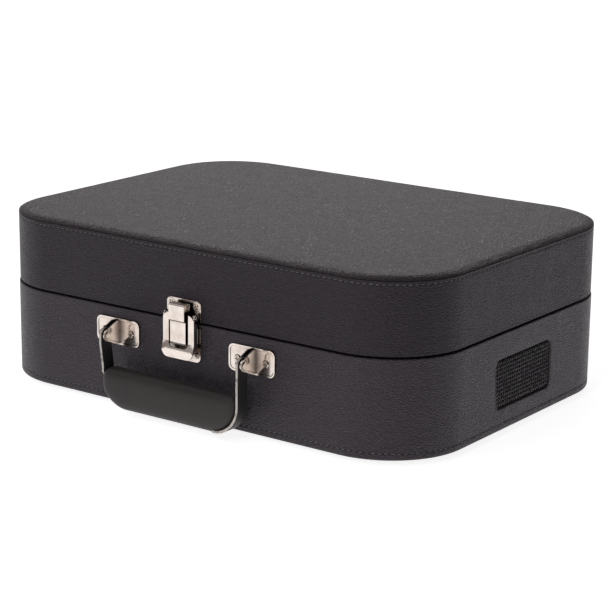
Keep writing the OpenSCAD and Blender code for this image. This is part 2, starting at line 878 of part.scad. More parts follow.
module handle_bracket(s) {
    mid = s * (bracket_x + ear_offset);
    place() difference() {
        union() {
            on_front(s * bracket_x, foot_h + handle_z)
                linear_extrude(bracket_t) round_rect(bracket_w, bracket_h, 4);
            on_front(s * bracket_x, foot_h + handle_z)
                linear_extrude(bracket_t + 0.4) difference() {
                    round_rect(bracket_w, bracket_h, 4);
                    round_rect(bracket_w - 2.4, bracket_h - 2.4, 3);
                }
            for (k = [-1, 1]) {
                inner = mid + k * ear_gap / 2 - (k < 0 ? ear_t : 0);
                translate([0, -case_d / 2, foot_h + handle_z]) along_x(inner, inner + ear_t) ear_profile();
            }
        }
        at_bracket_screws() screw_hole(wood_screw_r, 3);
        translate([mid, -case_d / 2 - handle_out, foot_h + handle_z])
            rod_x(handle_rivet_r + e, -5, 5);
    }
}

module left_handle_bracket() {
    color([0.86, 0.82, 0.78]) handle_bracket(-1);
}

module right_handle_bracket() {
    color([0.86, 0.82, 0.78]) handle_bracket(1);
}

module handle_rivets() {
    half = ear_gap / 2 + ear_t;
    color([0.8, 0.77, 0.72]) place()
        for (s = [-1, 1]) {
            translate([s * (bracket_x + ear_offset), -case_d / 2 - handle_out, foot_h + handle_z]) {
                rod_x(handle_rivet_r, -half, half);
                rod_x(2.3, half, half + rivet_head_h);
                rod_x(2.3, -half - rivet_head_h, -half);
            }
        }
}

module hardware_screws() {
    color("silver") place() {
        at_bracket_screws() screw(2.7, 0.9, wood_screw_r, 6);
        at_latch_plate_screws() screw(2, 0.5, metal_screw_r, 4.5);
        at_base_leaf_screws() screw(2.2, 0.7, metal_screw_r, 5);
        at_socket_screws() screw(2.2, 0.7, metal_screw_r, 5);
    }
}

// U of strap in the front plane, outside w wide, cut off at the pivot.
module strap_outline() {
    half = bracket_x + ear_offset + strap_t / 2;
    difference() {
        translate([0, -handle_drop / 2 + 15]) round_rect(2 * half, handle_drop + 30, strap_bend);
        translate([0, -handle_drop / 2 + 15 + strap_t])
            round_rect(2 * (half - strap_t), handle_drop + 30, strap_bend - strap_t);
        translate([-half - 1, 0]) square([2 * half + 2, 60]);
    }
}

module handle_strap() {
    mid = bracket_x + ear_offset;
    color([0.26, 0.24, 0.24]) place() difference() {
        union() {
            on_front(0, foot_h + handle_z, handle_out - strap_w / 2)
                linear_extrude(strap_w) strap_outline();
            for (s = [-1, 1]) {
                translate([s * mid, -case_d / 2 - handle_out, foot_h + handle_z])
                    rod_x(strap_w / 2, -strap_t / 2, strap_t / 2);
            }
        }
        for (s = [-1, 1]) {
            translate([s * mid, -case_d / 2 - handle_out, foot_h + handle_z])
                rod_x(handle_rivet_r + run_gap, -5, 5);
        }
    }
}

module handle_grip() {
    half = bracket_x + ear_offset - strap_t / 2 - 0.1;
    low = -handle_drop + strap_t + 0.1;
    color([0.26, 0.24, 0.24]) place()
        on_front(0, foot_h + handle_z, handle_out - grip_d / 2) linear_extrude(grip_d)
            intersection() {
                translate([0, low + 25]) round_rect(2 * half, 50, strap_bend - strap_t - 0.1);
                translate([0, low + grip_h / 2 - 15]) round_rect(2 * half, grip_h + 30, 5);
            }
}

// Hinges -------------------------------------------------------------------

module hinge_axis() {
    translate([0, case_d / 2 + hinge_out, seam_z]) children();
}

// One half of both hinges: up is 1 for the lid's leaves and -1 for the base's.
module hinge_leaves(up) {
    pitch = hinge_len / knuckles;
    face = up > 0 ? -lid_inset : 0;
    y0 = face - hinge_out;
    hinge_axis() for (s = [-1, 1]) {
        translate([s * hinge_x, 0, 0]) difference() {
            union() {
                mirror([0, 0, up > 0 ? 0 : 1])
                    block(-hinge_len / 2, hinge_len / 2, y0, y0 + leaf_t, knuckle_r + pass_gap + 0.4, leaf_h);
                for (i = [0 : knuckles - 1]) {
                    x0 = -hinge_len / 2 + i * pitch + knuckle_gap / 2;
                    if ((i % 2 == 0) == (up < 0)) {
                        rod_x(knuckle_r, x0, x0 + pitch - knuckle_gap);
                        mirror([0, 0, up > 0 ? 0 : 1])
                            block(x0, x0 + pitch - knuckle_gap, y0, y0 + leaf_t, 0, knuckle_r + 1);
                    }
                }
            }
            rod_x(hinge_pin_r + run_gap, -hinge_len, hinge_len);
        }
    }
}

module hinge_base_leaves() {
    color("silver") place() difference() {
        hinge_leaves(-1);
        at_base_leaf_screws() screw_hole(metal_screw_r, 3);
    }
}

module hinge_lid_leaves() {
    color("silver") place() difference() {
        hinge_leaves(1);
        at_lid_leaf_screws() screw_hole(metal_screw_r, 3);
    }
}

module hinge_pins() {
    color("gainsboro") place() hinge_axis() for (s = [-1, 1]) {
        translate([s * hinge_x, 0, 0]) {
            rod_x(hinge_pin_r, -hinge_len / 2 - 0.6, hinge_len / 2 + 0.6);
            for (k = [-1, 1]) {
                translate([k * (hinge_len / 2 + 0.5), 0, 0]) rod_x(hinge_pin_r + 0.6, -0.4, 0.4);
            }
        }
    }
}

// Lid ----------------------------------------------------------------------

module lid_screw_holes() {
    at_strike_screws() screw_hole(metal_screw_r, 5);
    at_lid_leaf_screws() screw_hole(metal_screw_r, 5.5);
}

module lid_frame() {
    color("tan") place() difference() {
        plan(lid_inset + skin_t, lid_z0 + skin_t, band_z1);
        plan(lid_inset + wall_in, lid_z0, band_z1 - lid_board_t);
        lid_screw_holes();
    }
}

module lid_leatherette() {
    color([0.22, 0.21, 0.22]) place() difference() {
        plan(lid_inset, lid_z0, band_z1);
        plan(lid_inset + skin_t, lid_z0 + skin_t, band_z1 + 1);
        plan(lid_inset + wall_in, lid_z0 - 1, band_z1);
        lid_screw_holes();
    }
}

// Padded cover with a rolled edge: slices of a quarter of an ellipse.
module lid_top_cover() {
    roll = 8;
    upright = cover_t * 0.2;
    slice_step = 15;
    color([0.3, 0.29, 0.3]) place() hull()
        for (a = [0 : slice_step : 90]) {
            rise = upright + (cover_t - upright) * sin(a);
            inset = lid_inset + roll * (1 - cos(a));
            translate([0, 0, band_z1 + (a == 0 ? 0 : rise - e)])
                linear_extrude(a == 0 ? rise : e)
                    round_rect(case_w - 2 * inset, case_d - 2 * inset, corner_r - inset, $fn = 96);
        }
}

module lid_lining() {
    color([0.25, 0.24, 0.26]) place()
        plan(lid_inset + panel_in, band_z1 - lid_board_t - lining_t, band_z1 - lid_board_t);
}

module lid_screws() {
    color("silver") place() {
        at_strike_screws() translate([0, 0, 0.25]) screw(2, 0.5, metal_screw_r, 4.5);
        at_lid_leaf_screws() screw(2.2, 0.7, metal_screw_r, 5);
    }
}

// Tonearm ------------------------------------------------------------------

module at_arm_pivot() {
    translate([arm_x, arm_y, 0]) children();
}

module tonearm_base() {
    color([0.14, 0.14, 0.15]) place() at_arm_pivot() difference() {
        union() {
            rod(20, deck_top, deck_top + 4.5);
            translate([0, 0, deck_top + 4.5 - e]) cylinder(h = 1.5, r1 = 20, r2 = 18.5);
            rod(9, deck_top + 5, arm_z - 15);
            rod(9.8, deck_under - 6, deck_top + e);
        }
        rod(yoke_stub_r + run_gap, deck_under - 1, arm_z);
    }
}

module arm_yoke() {
    low = arm_z - 15 + pass_gap;
    color([0.2, 0.2, 0.21]) place() at_arm_pivot() difference() {
        union() {
            rod(yoke_stub_r, deck_under - 0.5, low + e);
            rod(13, low, low + 3);
            for (s = [-1, 1]) {
                translate([s * 8.2 - 1.2, 0, 0]) block(0, 2.4, -5, 5, low + 2.9, arm_z);
                translate([0, 0, arm_z]) rod_x(5, s * 8.2 - 1.2, s * 8.2 + 1.2);
            }
        }
        translate([0, 0, arm_z]) rod_x(arm_pin_r + run_gap, -12, 12);
    }
}

module arm_tube() {
    color("gainsboro") place() at_arm_pivot() translate([0, 0, arm_z]) difference() {
        union() {
            rod_y(tube_r, -arm_len + 22, 14);
            rod_x(6.5, -5, 5);
            rod_x(arm_pin_r, -9.3, 9.3);
        }
        rod_y(tube_r - 1, -arm_len + 21, -arm_len + 32);
    }
}

module counterweight() {
    color([0.3, 0.3, 0.31]) place() at_arm_pivot() translate([0, 0, arm_z]) difference() {
        union() {
            rod_y(9, 12, 24);
            rod_y(7.5, 10, 12 + e);
        }
        rod_y(tube_r, 9, 14);
    }
}

module headshell() {
    color([0.14, 0.14, 0.15]) place() at_arm_pivot() translate([0, -arm_len, arm_z]) {
        difference() {
            union() {
                rod_y(tube_r - 1, 20, 31.5);
                block(-8, 8, -4, 20 + e, -1.5, 3.5);
                block(-5, 5, 19, 22, -3, 3);
            }
            block(-5.5, 5.5, 0, 16, 2, 4);
        }
        difference() {
            translate([8 - e, 0, 1.5]) cube([9, 5, 1.2]);
            translate([17, -1, 0]) rotate([0, 0, 30]) cube([6, 10, 4]);
        }
    }
}

module cartridge() {
    color([0.5, 0.1, 0.1]) place() at_arm_pivot() translate([0, -arm_len, arm_z]) {
        block(-6.5, 6.5, -2, 16, -8, -1.5);
        block(-4, 4, -3.4, 4, -7.5, -3);
    }
}

module stylus() {
    color("white") place() at_arm_pivot() translate([0, -arm_len, 0]) {
        block(-2.5, 2.5, -1, 6, arm_z - 10, arm_z - 8);
        translate([0, 0, tip_z]) cylinder(h = arm_z - 10 - tip_z + e, r1 = 0.3, r2 = 0.9);
    }
}

// Open cradle: a shelf under the tube and an upright on its outer side.
module arm_rest() {
    inner = tube_r + pass_gap;
    shelf = arm_z - tube_r - pass_gap;
    color([0.14, 0.14, 0.15]) place() translate([arm_x, rest_y, 0]) {
        rod(8, deck_top, deck_top + 2);
        translate([6, 0, 0]) block(-3, 5, -4, 4, deck_top, shelf);
        block(-5, 11, -4, 4, shelf - 2.5, shelf);
        block(inner, inner + 7, -4, 4, shelf - 1, arm_z + tube_r + 1);
        translate([inner + 3.5, 0, 0]) rod(1.5, arm_z + tube_r, arm_z + tube_r + 3.6);
    }
}

// Turns about the post on the rest to reach over the tube.
module arm_clip() {
    x = arm_x + tube_r + pass_gap + 3.5;
    low = arm_z + tube_r + 1 + pass_gap;
    color([0.3, 0.3, 0.3]) place() translate([x, rest_y, 0]) difference() {
        union() {
            rod(3.2, low, low + 1.8);
            block(-2.2, 2.2, 0, 13, low, low + 1.8);
        }
        rod(1.5 + run_gap, low - 1, low + 3);
    }
}

module lift_housing() {
    color([0.14, 0.14, 0.15]) place() difference() {
        union() {
            translate([lift_x, lift_y, 0]) rod(6, deck_top, deck_top + 9);
            block(lift_x, cue_x - 2, cue_y - 4, cue_y + 4, deck_top, deck_top + 5);
            block(cue_x - 8, cue_x - 2, cue_y - 4, cue_y + 4, deck_top, cue_z + 3.5);
        }
        translate([lift_x, lift_y, 0]) rod(lift_post_r + run_gap, deck_top + 0.5, deck_top + 10);
        translate([cue_x, cue_y, cue_z]) rod_x(1.5 + run_gap, -9, 0);
    }
}

// Curved bar under the tube that follows the sweep of the arm.
module lift_platform() {
    top = arm_z - tube_r - 0.5;
    color([0.2, 0.2, 0.2]) place() {
        translate([lift_x, lift_y, 0]) rod(lift_post_r, deck_top + 1, top - 2 + e);
        at_arm_pivot() translate([0, 0, top - 2]) rotate([0, 0, 221])
            rotate_extrude(angle = 53, $fn = 128) translate([lift_dist - 2, 0]) square([4, 2]);
    }
}

module cue_lever() {
    color([0.2, 0.2, 0.21]) place() translate([cue_x, cue_y, cue_z]) {
        rod_x(1.5, -8, 0.5);
        rod_x(3, -1.7, 2);
        block(-1.4, 1.6, -22, 0, -1.2, 1.2);
        translate([0.1, -22, 0]) rod_x(2.5, -2.2, 2.2);
    }
}

// Controls -----------------------------------------------------------------

module volume_knob() {
    low = deck_top + pass_gap;
    color([0.16, 0.16, 0.17]) place() translate([volume_x, volume_y, 0]) difference() {
        union() {
            rod(3, board_z + 4.5, low + 1);
            rod(knob_r, low, low + knob_h - 1);
            translate([0, 0, low + knob_h - 1 - e]) cylinder(h = 1, r1 = knob_r, r2 = knob_r - 1);
        }
        block(-0.6, 0.6, 3, knob_r + 1, low + knob_h - 1.6, low + knob_h + 1);
    }
}

module speed_selector() {
    low = deck_top + pass_gap;
    color([0.16, 0.16, 0.17]) place() translate([selector_x, selector_y, 0]) {
        rod(2.5, deck_under - 3, low + 1);
        rod(selector_r, low, low + 2);
        block(-selector_r - 4, 0, -1.8, 1.8, low + 1, low + 4.5);
        rod(3.5, low, low + 4.5);
    }
}

module auto_stop_switch() {
    color([0.75, 0.75, 0.75]) place() translate([stop_x, stop_y, 0]) {
        block(-1.2, 1.2, -5.5, -2.5, deck_under - 2, deck_top);
        block(-3, 3, -6.5, -1.5, deck_top - 0.8 + 0.2, deck_top + 2.4);
    }
}

module adapter_45() {
    low = deck_top + 0.2;
    color([0.1, 0.1, 0.1]) place() translate([adapter_x, adapter_y, 0]) difference() {
        union() {
            rod(adapter_r, low, low + 2.6);
            rod(adapter_r - 6, low + 2.5, low + 3.4);
        }
        rod(spindle_r + run_gap, low - 1, low + 6);
        for (a = [0 : 60 : 300]) {
            rotate([0, 0, a]) translate([adapter_r - 9.5, 0, 0]) rod(2, low - 1, low + 6);
        }
    }
}

base_frame();
base_leatherette();
bottom_panel();
underside_screws();
rubber_feet();
deck_plate();
deck_screws();
left_speaker();
right_speaker();
left_grille();
right_grille();
circuit_board();
wiring();
rear_socket_plate();
audio_sockets();
power_inlet();
platter_spindle();
motor();
drive_belt();
latch_plate();
latch_rivets();
left_handle_bracket();
right_handle_bracket();
hardware_screws();
handle_rivets();
tonearm_base();
arm_rest();
lift_housing();
hinge_base_leaves();
hinge_pins();
platter();
slip_mat();
motor_pulley();
latch_lever();
latch_hook_pin();
latch_hook();
handle_strap();
handle_grip();
arm_yoke();
arm_tube();
counterweight();
headshell();
cartridge();
stylus();
arm_clip();
cue_lever();
lift_platform();
lid_frame();
lid_leatherette();
lid_top_cover();
lid_lining();
hinge_lid_leaves();
latch_strike();
lid_screws();
volume_knob();
speed_selector();
auto_stop_switch();
adapter_45();
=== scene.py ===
"""Looks of a suitcase record player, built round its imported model.

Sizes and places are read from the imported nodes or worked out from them, in metres. +Z is up and
the front of the case, with its handle and latch, faces -Y.
"""

import json
import logging
import math
from dataclasses import dataclass, replace
from enum import Enum
from typing import Callable, Optional, Sequence

import bmesh
import bpy
from mathutils import Matrix, Vector, noise

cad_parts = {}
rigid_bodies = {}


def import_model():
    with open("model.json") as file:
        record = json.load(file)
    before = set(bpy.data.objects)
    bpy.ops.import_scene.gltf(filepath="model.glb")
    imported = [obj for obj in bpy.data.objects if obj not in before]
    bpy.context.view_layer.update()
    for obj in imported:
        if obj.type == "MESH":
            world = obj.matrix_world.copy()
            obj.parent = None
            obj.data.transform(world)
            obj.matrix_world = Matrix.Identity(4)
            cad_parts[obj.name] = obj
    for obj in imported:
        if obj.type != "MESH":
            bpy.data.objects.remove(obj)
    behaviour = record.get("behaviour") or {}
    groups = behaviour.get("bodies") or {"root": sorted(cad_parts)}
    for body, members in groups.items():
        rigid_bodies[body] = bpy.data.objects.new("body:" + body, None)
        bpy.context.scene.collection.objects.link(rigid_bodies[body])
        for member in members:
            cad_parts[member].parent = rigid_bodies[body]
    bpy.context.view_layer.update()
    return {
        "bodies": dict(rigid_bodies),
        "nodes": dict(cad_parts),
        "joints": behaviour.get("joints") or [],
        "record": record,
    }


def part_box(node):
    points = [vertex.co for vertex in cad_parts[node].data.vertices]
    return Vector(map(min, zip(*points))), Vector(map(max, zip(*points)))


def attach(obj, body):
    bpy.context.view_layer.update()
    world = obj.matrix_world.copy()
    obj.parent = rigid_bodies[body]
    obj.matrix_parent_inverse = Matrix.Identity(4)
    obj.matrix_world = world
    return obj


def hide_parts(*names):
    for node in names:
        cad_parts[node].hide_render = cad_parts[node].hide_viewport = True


LOG = logging.getLogger("record_player")
MM = 0.001
KNOB_ABOVE_DECK = 10.29 * MM
Colour = tuple[float, float, float]
ProfilePoint = tuple[float, float, int]


class Body(Enum):
    """Moving bodies that carry the new pieces."""

    BASE = "base"
    LID = "lid"
    HANDLE = "handle"


class Slot(Enum):
    """Names of the record's material slots; the new pieces are handed one, but it is not applied to them."""

    LEATHERETTE = "leatherette"
    LID_COVER = "lid_cover"
    GRILLE = "grille_cloth"
    STRAP = "strap"
    GRIP = "grip"
    DECK = "deck"
    SOCKET = "socket_plate"


class Side(Enum):
    """Left and right end of the case, as the sign of X."""

    LEFT = -1
    RIGHT = 1


# Finishes -------------------------------------------------------------------


class NodeGraph:
    """A material's node tree, with one short call per kind of node."""

    def __init__(self, material: bpy.types.Material) -> None:
        """Empties the tree and sets up the surface and the object's own coordinates.

        Args:
            material: The material to fill.
        """
        material.use_nodes = True
        self.tree = material.node_tree
        self.tree.nodes.clear()
        self.surface = self.add("BsdfPrincipled")
        output = self.add("OutputMaterial")
        self.tree.links.new(self.surface.outputs["BSDF"], output.inputs["Surface"])
        self.place = self.add("TexCoord").outputs["Object"]

    def add(self, kind: str, inputs: Optional[dict] = None, **settings: object) -> bpy.types.Node:
        """Adds a node and fills its settings and inputs.

        Args:
            kind: The node's type, without its ShaderNode prefix.
            inputs: Values or sockets by input name or number.
            **settings: Attributes of the node.

        Returns:
            The new node.
        """
        node = self.tree.nodes.new("ShaderNode" + kind)
        for name, value in settings.items():
            setattr(node, name, value)
        for key, value in (inputs or {}).items():
            if isinstance(value, bpy.types.NodeSocket):
                self.tree.links.new(value, node.inputs[key])
            else:
                node.inputs[key].default_value = value
        return node

    def fix(self, **values: object) -> None:
        """Sets uniform values on the surface's own sockets, with _ for a space in the name."""
        for name, value in values.items():
            self.surface.inputs[name.replace("_", " ")].default_value = value

    def drive(self, name: str, socket: bpy.types.NodeSocket) -> None:
        """Links a socket to one of the surface's inputs."""
        self.tree.links.new(socket, self.surface.inputs[name])

    def noise(
        self, size: float, detail: float = 2.0, place: Optional[bpy.types.NodeSocket] = None
    ) -> bpy.types.NodeSocket:
        """Cloudy noise from 0 to 1, with blotches of about the given size in metres."""
        inputs = {"Vector": place or self.place, "Scale": 1 / size, "Detail": detail}
        return self.add("TexNoise", inputs).outputs[0]

    def cells(self, size: float, feature: str, place: bpy.types.NodeSocket) -> bpy.types.NodeSocket:
        """Voronoi distance, in cells of the given size in metres."""
        node = self.add("TexVoronoi", {"Vector": place, "Scale": 1 / size}, feature=feature)
        return node.outputs["Distance"]

    def maths(self, operation: str, first: object, second: object = 0.0) -> bpy.types.NodeSocket:
        """One Math node on two values or sockets."""
        return self.add("Math", {0: first, 1: second}, operation=operation).outputs[0]

    def spread(
        self, value: bpy.types.NodeSocket, low: float, high: float, to_low: float, to_high: float
    ) -> bpy.types.NodeSocket:
        """Maps the range low to high onto to_low to to_high, clamped."""
        inputs = {"Value": value, "From Min": low, "From Max": high, "To Min": to_low, "To Max": to_high}
        return self.add("MapRange", inputs).outputs["Result"]

    def stretch(self, factors: Sequence[float]) -> bpy.types.NodeSocket:
        """The object's coordinates, multiplied axis by axis."""
        node = self.add("VectorMath", {0: self.place, 1: tuple(factors)}, operation="MULTIPLY")
        return node.outputs["Vector"]

    def about(self, centre: Sequence[float]) -> bpy.types.NodeSocket:
        """The object's coordinates, counted from a point."""
        node = self.add("VectorMath", {0: self.place, 1: tuple(centre)}, operation="SUBTRACT")
        return node.outputs["Vector"]

    def warp(self, place: bpy.types.NodeSocket, size: float, reach: float) -> bpy.types.NodeSocket:
        """Coordinates pushed about by noise, so that a pattern isn't regular.

        Args:
            place: The coordinates to push.
            size: Size of the noise's blotches.
            reach: How far a point may move.

        Returns:
            The pushed coordinates.
        """
        blur = self.add("TexNoise", {"Vector": place, "Scale": 1 / size, "Detail": 1.0})
        push = self.add("VectorMath", {0: blur.outputs["Color"], "Scale": reach}, operation="SCALE")
        return self.add("VectorMath", {0: place, 1: push.outputs["Vector"]}, operation="ADD").outputs[0]

    def blend(self, share: bpy.types.NodeSocket, low: Colour, high: Colour) -> bpy.types.NodeSocket:
        """Mixes two colours by a share from 0 to 1."""
        inputs = {0: share, 6: (*low, 1.0), 7: (*high, 1.0)}
        return self.add("Mix", inputs, data_type="RGBA").outputs[2]

    def emboss(self, height: bpy.types.NodeSocket, depth: float, strength: float = 1.0) -> None:
        """Drives the surface's normal from a height, depth metres deep."""
        bump = self.add("Bump", {"Height": height, "Distance": depth, "Strength": strength})
        self.drive("Normal", bump.outputs["Normal"])


@dataclass(frozen=True)
class Finish:
    """A surface finish. Pieces with the same finish share one material."""

    name: str

    def material(self) -> bpy.types.Material:
        """Gives the finish's material and makes it on first use."""
        found = bpy.data.materials.get(self.name)
        if found is None:
            found = bpy.data.materials.new(self.name)
            self.lay(NodeGraph(found))
        return found

    def lay(self, graph: NodeGraph) -> None:
        """Fills the material's nodes.

        Args:
            graph: The empty graph of the finish's material.
        """
        raise NotImplementedError(self.name)


@dataclass(frozen=True)
class PebbledLeatherette(Finish):
    """Leatherette with an embossed pebble grain, dark in its creases."""

    valley: Colour
    crown: Colour
    pebble: float = 1.5 * MM
    depth: float = 0.4 * MM
    gloss: float = 0.3
    matt: float = 0.56
    specular: float = 0.5
    tint: tuple[float, float, float, float] = (1.0, 0.9, 1.0, 1.0)
    run: tuple[float, float, float] = (0.72, 0.72, 1.3)

    def lay(self, graph: NodeGraph) -> None:
        """Lays pebbles, creases and pores, and lets the crowns shine more than the creases."""
        place = graph.warp(graph.stretch(self.run), self.pebble * 2.2, self.pebble * 1.1)
        edge = graph.cells(self.pebble, "DISTANCE_TO_EDGE", place)
        dome = graph.cells(self.pebble, "F1", place)
        pores = graph.noise(self.pebble * 0.3, 3.0, place)
        crease = graph.spread(edge, 0.0, 0.28, 0.0, 0.55)
        rise = graph.spread(dome, 0.0, 0.9, 0.35, 0.0)
        grain = graph.maths("ADD", graph.maths("ADD", crease, rise), graph.maths("MULTIPLY", pores, 0.2))
        sizes = graph.spread(graph.noise(9 * MM, 2.0), 0.3, 0.7, 0.72, 1.1)
        height = graph.maths("MULTIPLY", grain, sizes)
        cloud = graph.spread(graph.noise(60 * MM, 3.0), 0.3, 0.7, -0.05, 0.05)
        share = graph.add("Clamp", {"Value": graph.maths("ADD", height, cloud)}).outputs[0]
        graph.drive("Base Color", graph.blend(share, self.valley, self.crown))
        graph.drive("Roughness", graph.spread(height, 0.2, 0.95, self.matt, self.gloss))
        graph.fix(Specular_IOR_Level=self.specular, Specular_Tint=self.tint)
        graph.emboss(height, self.depth)


@dataclass(frozen=True)
class SmoothLeatherette(Finish):
    """Soft leatherette with fine pores and faint pulls."""

    dark: Colour
    light: Colour
    specular: float = 0.4

    def lay(self, graph: NodeGraph) -> None:
        """Lays fine pores over long faint pulls."""
        pores = graph.cells(0.55 * MM, "F1", graph.warp(graph.place, 1.2 * MM, 0.4 * MM))
        pulls = graph.noise(14 * MM, 3.0, graph.stretch((0.35, 1.0, 1.0)))
        height = graph.maths("ADD", graph.maths("MULTIPLY", pores, -0.4), graph.maths("MULTIPLY", pulls, 0.8))
        graph.drive("Base Color", graph.blend(graph.spread(pulls, 0.3, 0.7, 0, 1), self.dark, self.light))
        graph.drive("Roughness", graph.spread(pulls, 0.3, 0.7, 0.46, 0.58))
        graph.fix(Specular_IOR_Level=self.specular, Sheen_Weight=0.04, Sheen_Roughness=0.6)
        graph.emboss(height, 0.07 * MM)


@dataclass(frozen=True)
class CutEdge(Finish):
    """Raw cut edge of a leatherette strap: pale backing cloth between dark skins."""

    pale: Colour
    dark: Colour

    def lay(self, graph: NodeGraph) -> None:
        """Lays pale fibres with darker nicks along the edge."""
        fibres = graph.noise(0.5 * MM, 4.0)
        nicks = graph.noise(2.6 * MM, 3.0)
        pale = graph.spread(fibres, 0.3, 0.6, 0.4, 1)
        share = graph.maths("MULTIPLY", pale, graph.spread(nicks, 0.36, 0.5, 0, 1))
        graph.drive("Base Color", graph.blend(share, self.dark, self.pale))
        graph.drive("Roughness", graph.spread(fibres, 0.2, 0.8, 0.7, 0.95))
        graph.emboss(fibres, 0.2 * MM)


@dataclass(frozen=True)
class PlatedMetal(Finish):
    """Polished plate with a little haze, fine rub marks, warm tarnish and painted shade in its crevices."""

    bright: Colour
    tarnish: Colour
    shine: float = 0.13
    haze: float = 0.26
    reach: float = 8 * MM
    # Darkness of the painted crevice shade, as a share of the tarnish colour.
    crevice_shade_factor: float = 0.2

    def lay(self, graph: NodeGraph) -> None:
        """Lays tarnish in blotches, rub marks and a faint ripple from the press, and paints shade into
        crevices and joints where ambient occlusion finds them.
        """
        blotch = graph.spread(graph.noise(9 * MM, 2.0), 0.45, 0.8, 0.0, 1.0)
        rubs = graph.noise(0.5 * MM, 2.0, graph.stretch((1.0, 1.0, 0.08)))
        ripple = graph.noise(9.0 * MM, 0.0)
        worn = graph.blend(blotch, self.bright, self.tarnish)
        # Painted shade: the colour is mixed towards a dark shade of the tarnish wherever ambient occlusion
        # finds a crevice or a joint between parts.
        open_air = graph.add("AmbientOcclusion", {"Distance": self.reach}).outputs["AO"]
        painted_crevice_shade = tuple(c * self.crevice_shade_factor for c in self.tarnish)
        share = graph.spread(open_air, 0.35, 0.95, 0.0, 1.0)
        mixed = graph.add("Mix", {0: share, 6: (*painted_crevice_shade, 1.0), 7: worn}, data_type="RGBA").outputs[2]
        graph.drive("Base Color", mixed)
        graph.drive("Roughness", graph.spread(rubs, 0.35, 0.75, self.shine, self.haze))
        graph.fix(Metallic=1.0)
        height = graph.maths("ADD", ripple, graph.maths("MULTIPLY", rubs, 0.02))
        graph.emboss(height, 0.06 * MM)


@dataclass(frozen=True)
class SpunMetal(Finish):
    """Metal turned on a lathe, with fine rings about an upright axis."""

    bright: Colour
    dull: Colour
    centre: tuple[float, float, float]
    pitch: float = 0.5 * MM
    metallic: float = 1.0
    shine: float = 0.28

    def lay(self, graph: NodeGraph) -> None:
        """Lays the tool's rings and a little haze."""
        from_centre = graph.about(self.centre)
        rings = graph.add(
            "TexWave",
            {"Vector": from_centre, "Scale": 0.05 / self.pitch, "Distortion": 0.4, "Detail": 1.0},
            wave_type="RINGS",
            rings_direction="Z",
        ).outputs[1]
        haze = graph.noise(12 * MM, 3.0)
        graph.drive("Base Color", graph.blend(haze, self.bright, self.dull))
        graph.drive("Roughness", graph.spread(haze, 0.3, 0.7, self.shine, self.shine + 0.14))
        graph.fix(Metallic=self.metallic)
        graph.emboss(rings, 0.02 * MM)


@dataclass(frozen=True)
class MouldedPlastic(Finish):
    """Moulded plastic with a spark-eroded texture."""

    dark: Colour
    light: Colour
    texture: float = 0.5 * MM
    depth: float = 0.03 * MM
    shine: float = 0.4
    coat: float = 0.0

    def lay(self, graph: NodeGraph) -> None:
        """Lays the mould's fine texture and soft clouds of colour."""
        sparks = graph.noise(self.texture, 3.0)
        cloud = graph.noise(30 * MM, 3.0)
        graph.drive("Base Color", graph.blend(cloud, self.dark, self.light))
        graph.drive("Roughness", graph.spread(sparks, 0.3, 0.7, self.shine, self.shine + 0.15))
        graph.fix(Coat_Weight=self.coat)
        graph.emboss(sparks, self.depth)


@dataclass(frozen=True)
class WovenThread(Finish):
    """Twisted thread with a soft sheen."""

    dark: Colour
    light: Colour
    twist: float = 0.35 * MM
    rough: float = 0.6
    specular: float = 0.5

    def lay(self, graph: NodeGraph) -> None:
        """Lays slanted twists and loose fibres."""
        slant = graph.maths("ADD", graph.noise(self.twist, 2.0), graph.noise(self.twist * 5, 2.0))
        share = graph.spread(slant, 0.75, 1.25, 0.0, 1.0)
        graph.drive("Base Color", graph.blend(share, self.dark, self.light))
        graph.drive("Roughness", graph.spread(share, 0, 1, self.rough + 0.1, self.rough - 0.1))
        graph.fix(Specular_IOR_Level=self.specular)
        graph.emboss(slant, 0.05 * MM)


@dataclass(frozen=True)
class Felt(Finish):
    """Pressed felt or brushed lining, with rings of a lighter shade where a centre is given."""

    dark: Colour
    light: Colour
    centre: tuple[float, float, float] = (0.0, 0.0, 0.0)
    ring_pitch: float = 0.0

    def lay(self, graph: NodeGraph) -> None:
        """Lays crossing fibres and, where asked, broad rings."""
        fibres = graph.maths(
            "MAXIMUM",
            graph.noise(0.9 * MM, 4.0, graph.warp(graph.stretch((1, 0.3, 1)), 3 * MM, 3 * MM)),
            graph.noise(0.9 * MM, 4.0, graph.warp(graph.stretch((0.3, 1, 1)), 3 * MM, 3 * MM)),
        )
        share = graph.spread(fibres, 0.45, 0.75, 0.0, 1.0)
        if self.ring_pitch:
            flat = graph.add("VectorMath", {0: graph.about(self.centre), 1: (1, 1, 0)}, operation="MULTIPLY")
            radius = graph.add("VectorMath", {0: flat.outputs[0]}, operation="LENGTH").outputs["Value"]
            wave = graph.maths("SINE", graph.maths("MULTIPLY", radius, math.tau / self.ring_pitch))
            share = graph.maths("MULTIPLY", share, graph.spread(wave, 0.86, 0.96, 0.55, 1.6))
        graph.drive("Base Color", graph.blend(share, self.dark, self.light))
        graph.drive("Roughness", graph.spread(fibres, 0.3, 0.8, 0.85, 1.0))
        graph.fix(Sheen_Weight=0.15, Sheen_Roughness=0.7)
        graph.emboss(fibres, 0.25 * MM)


@dataclass(frozen=True)
class Rubber(Finish):
    """Matt moulded rubber with a little dust."""

    dark: Colour
    dust: Colour

    def lay(self, graph: NodeGraph) -> None:
        """Lays dust in blotches over a fine matt skin."""
        skin = graph.noise(0.6 * MM, 3.0)
        dust = graph.spread(graph.noise(7 * MM, 4.0), 0.45, 0.8, 0.0, 0.7)
        graph.drive("Base Color", graph.blend(dust, self.dark, self.dust))
        graph.drive("Roughness", graph.spread(skin, 0.3, 0.7, 0.65, 0.85))
        graph.emboss(skin, 0.05 * MM)


